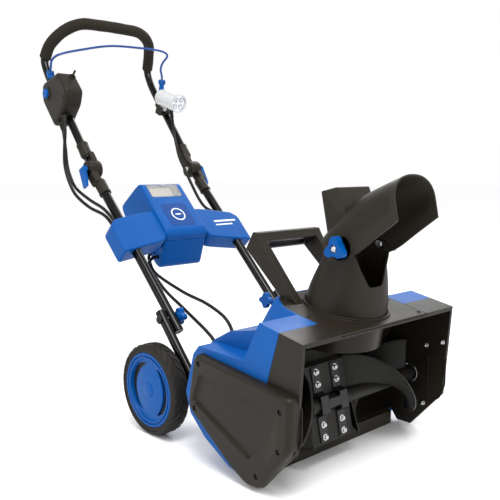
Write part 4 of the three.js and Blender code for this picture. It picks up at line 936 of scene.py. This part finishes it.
box_cover = half_box(1)
box_cover = cut(box_cover, block(-50, 50, 355.5, 400, 5, 60, in_handle),
                cable_hole("switch_cable_inner", -1, -1), cable_hole("lamp_cable", -1, -1))
show(box_cover, "box_cover", "lower_handle", BLUE, ["battery_cover"], edge=0.5, angle=35)
box_tray = cut(half_box(-1), cable_hole("switch_cable_outer", -1, -1),
               cable_hole("motor_cable_upper", 0, 1), cable_hole("motor_cable_lower", 0, 1))
show(box_tray, "box_tray", "lower_handle", BLUE, ["battery_tray"], edge=0.5, angle=35)

# ---------- knuckles of the upper fold
for side, s in SIDES:
    for half, angle, near, far, reach in (
            ("lower", HANDLE_ANGLE + math.pi, TUBE_X + GAP / 2, TUBE_X + 18, 88),
            ("upper", UPPER_ANGLE, TUBE_X - GAP / 2, TUBE_X - 18, 84)):
        disc = turned((s * near, *KNUCKLE), (s * far, *KNUCKLE), [
            (0, 23.2), (0.8, 24), (14.5, 24), (16.8, 22.6), (17.85, 20)], 64)
        sleeve = turned(along(angle, 42.5, s * TUBE_X), along(angle, reach, s * TUBE_X), [
            (0, 12.5), (1.2, 14), (6, 15.6), (reach - 49, 15), (reach - 48.5, 15.8), (reach - 43.5, 15.8),
            (reach - 42.5, 14.6)], 40)
        arm_outline = rounded([along(angle + turn, run, 0)[1:] for turn, run in (
            (1.2, 17), (0.26, 54), (-0.26, 54), (-1.2, 17))], 5)
        arm = loft([
            [(x, *p) for p in inset(arm_outline, by)] for x, by in edge_levels(s * near, s * far, 5)])
        body = f"{half}_handle"
        show(merged([disc, sleeve, arm]), f"fold_{half}_{side}", body, BLACK, [f"knuckle_{half}_{side}"],
            edge=1.4, angle=35)
        if half == "lower":
            pin = turned((s * (TUBE_X - 22), *KNUCKLE), (s * (TUBE_X + 18.6), *KNUCKLE), [
                (0, 7), (0.8, 8), (3.4, 8), (3.5, 4), (40.6, 4)], 32)
            show(pin, f"fold_pin_{side}", body, STEEL, edge=0.2)
        else:
            rim = turned((s * (far + 0.4), *KNUCKLE), (s * (far - 4), *KNUCKLE), [
                (0, 19), (1.4, 19), (2, 18), (2.1, 12), (0.9, 11), (0.8, 0.1)], 56)
            show(rim, f"fold_rim_{side}", body, BLACK, edge=0.2)

# ---------- headlight
LAMP_WAY = Vector((0, -0.9612, -0.2759))


def on_lamp(run):
    """Point on the lamp's axis, run forward of its rear."""
    return Vector(LAMP_REAR) + LAMP_WAY * run


shell = turned(on_lamp(0), on_lamp(LAMP_LONG), [
    (0, 10), (0.6, 16), (3, 20.5), (8, 23.6), (14, 24.6), (60, 25.4), (88, 26.4), (99, 26.9)], 72)
shell = cut(shell, turned(on_lamp(6), on_lamp(LAMP_LONG), [(0, 18), (8, 21.5), (101, 24.4)], 72))
lug = slab_x(rounded([(927, 777), (930, 771), (942, 771), (945, 777), (945, 791), (927, 789)], 2.5), 142,
    152)
lug = cut(lug, bar(on_lamp(0), on_lamp(LAMP_LONG), 23.2, 48),
    bar((100, *LAMP_PIVOT), (200, *LAMP_PIVOT), 3.3, 24))
show(merged([shell, lug]), "lamp_shell", "lamp", WHITE, ["lamp_body"], edge=0.6, angle=35)
boot = turned((147.2, 897.8, 772), (151, 898, 749.5), [(0, 6), (3, 6), (18, 5.4), (22.8, 5)], 32)
show(boot, "lamp_boot", "lamp", CABLE, edge=0.5)
front = turned(on_lamp(99.3), on_lamp(LAMP_LONG), [
    (0, 27.2), (4.5, 27.2), (6.4, 25.6), (7.2, 22), (7.7, 14), (7.8, 0.1)], 72)
show(front, "lamp_front", "lamp", LENS, ["lamp_lens"], edge=0)
plate = turned(on_lamp(86), on_lamp(99), [(0, 24.1), (8, 24.5), (8.01, 23)], 64)
spots = [(9.5, 9.5), (-9.5, 9.5), (9.5, -9.5), (-9.5, -9.5)]
across = Vector((1, 0, 0))
upward = LAMP_WAY.cross(across)
for a, b in spots:
    at = across * a + upward * b
    plate = cut(plate, turned(on_lamp(86.5) + at, on_lamp(96) + at,
        [(0, 2), (1.5, 4.6), (4, 7), (9.5, 8.8)], 32))
show(plate, "lamp_reflector", "lamp", CHROME, edge=0.2)
for number, (a, b) in enumerate(spots, 1):
    at = across * a + upward * b
    bulb = turned(on_lamp(86.2) + at, on_lamp(92) + at, [
        (0, 2.4), (2.5, 2.3), (3.6, 1.6), (4.1, 0.1)], 24)
    show(bulb, f"lamp_bulb_{number}", "lamp", WHITE, edge=0)

# ---------- switch box details
collar = cut(bar((-199.5, *BUTTON), (-203.4, *BUTTON), 18.5, 56),
    bar((-190, *BUTTON), (-210, *BUTTON), 13.4, 56))
show(collar, "button_collar", "upper_handle", BLACK)
boot_way = Vector((0, -0.74, 0.67))
foot = Vector((-161, 924, 845.2))
boot = cut(turned(foot - boot_way, foot + boot_way * 9, [(0, 9.4), (2.5, 9.2), (4, 8)], 32),
    bar(foot - boot_way * 4, foot + boot_way * 9, 6.9, 32))
show(boot, "toggle_collar", "upper_handle", BLACK, edge=0.4)
for number, (y, z) in enumerate(((958.5, 730), (907, 789), (936.5, 839.5)), 1):
    screw((-200.8, y, z), (-1, 0, 0), "upper_handle", f"switch_screw_{number}", radius=2.6)
SWITCH = rounded([(934, 856), (1022, 831), (1025, 786), (958, 709), (900, 769), (888, 806)],
    [12, 14, 16, 16, 12, 12], 6)


def switch_half(seam, face, radius):
    """Half of the switch box from its seam to its rounded outer face."""
    return loft([[(x, *p) for p in inset(SWITCH, by)] for x, by in edge_levels(seam, face, radius)])


box_outer = switch_half(SWITCH_SEAM - GAP / 2, SWITCH_OUT, 9)
box_outer = cut(box_outer, bar((-177, *BUTTON), (-210, *BUTTON), BUTTON_HOLE, 56))
show(box_outer, "switch_shell_outer", "upper_handle", BLACK, ["switch_box_outer"], edge=0.5)
box_inner = switch_half(SWITCH_SEAM + GAP / 2, SWITCH_IN, 7)
box_inner = cut(box_inner, bar(foot - boot_way * 10, foot + boot_way * 6, 6.9, 32))
show(box_inner, "switch_shell_inner", "upper_handle", BLACK, ["switch_box_inner"], edge=0.5)
for name in ("switch_cable_outer", "switch_cable_inner"):
    start = Vector(routes[name][0])
    way = (Vector(routes[name][1]) - start).normalized()
    relief = turned(start + way * 2, start + way * 30, [
        (0, 8.5), (3, 8.5), (4, 7.4), (20, 5.8), (24, 5)], 32)
    show(relief, name.replace("cable", "relief"), "upper_handle", CABLE, edge=0.5)

# ---------- floor, light and camera
floor_mesh = bpy.data.meshes.new("floor")
floor_bm = bmesh.new()
bmesh.ops.create_grid(floor_bm, x_segments=1, y_segments=1, size=20)
floor_bm.to_mesh(floor_mesh)
floor_bm.free()
floor = bpy.data.objects.new("floor", floor_mesh)
bpy.context.scene.collection.objects.link(floor)
floor.location.z = -0.0005
floor_mesh.materials.append(material("studio_floor", (0.985, 0.985, 0.985), 0.8, grain=(60, 0.02),
    mottle=0.004, shine=0.1))

world = bpy.context.scene.world or bpy.data.worlds.new("world")
bpy.context.scene.world = world
world.use_nodes = True
world.node_tree.nodes["Background"].inputs["Color"].default_value = (1, 1, 1, 1)
world.node_tree.nodes["Background"].inputs["Strength"].default_value = 1.0
bpy.context.scene.view_settings.view_transform = "Standard"


def soft_light(name, location, aim, size, power):
    """Wide area light turned towards aim; positions in metres."""
    lamp = bpy.data.lights.new(name, "AREA")
    lamp.shape = "RECTANGLE"
    lamp.size, lamp.size_y = size
    lamp.energy = power
    piece = bpy.data.objects.new(name, lamp)
    piece.location = location
    piece.rotation_euler = (Vector(aim) - Vector(location)).to_track_quat("-Z", "Y").to_euler()
    bpy.context.scene.collection.objects.link(piece)


soft_light("key", (-0.7, -0.9, 3.0), (0, 0.2, 0.3), (1.6, 1.2), 75)
soft_light("fill", (-2.6, 0.8, 1.2), (0, 0.3, 0.4), (0.5, 1.8), 8)
soft_light("rim", (2.0, 1.4, 2.2), (0, 0.2, 0.4), (1.6, 1.2), 30)
soft_light("front", (0.6, -2.6, 0.9), (0, 0, 0.2), (1.8, 1.2), 8)

# Camera fitted to the photo: its place, and its angles down and away from the machine's length.
CAMERA_AT, CAMERA_DOWN, CAMERA_ASIDE, LENS_MM = (-1113.6, -792.3, 607.2), 6.943, 43.134, 49.78
camera_data = bpy.data.cameras.new("camera")
camera_data.lens = LENS_MM
camera_data.sensor_width = 36
camera = bpy.data.objects.new("camera", camera_data)
camera.location = here(*CAMERA_AT)
camera.rotation_euler = Euler((math.radians(90 - CAMERA_DOWN), 0, math.radians(-CAMERA_ASIDE)))
bpy.context.scene.collection.objects.link(camera)
bpy.context.scene.camera = camera
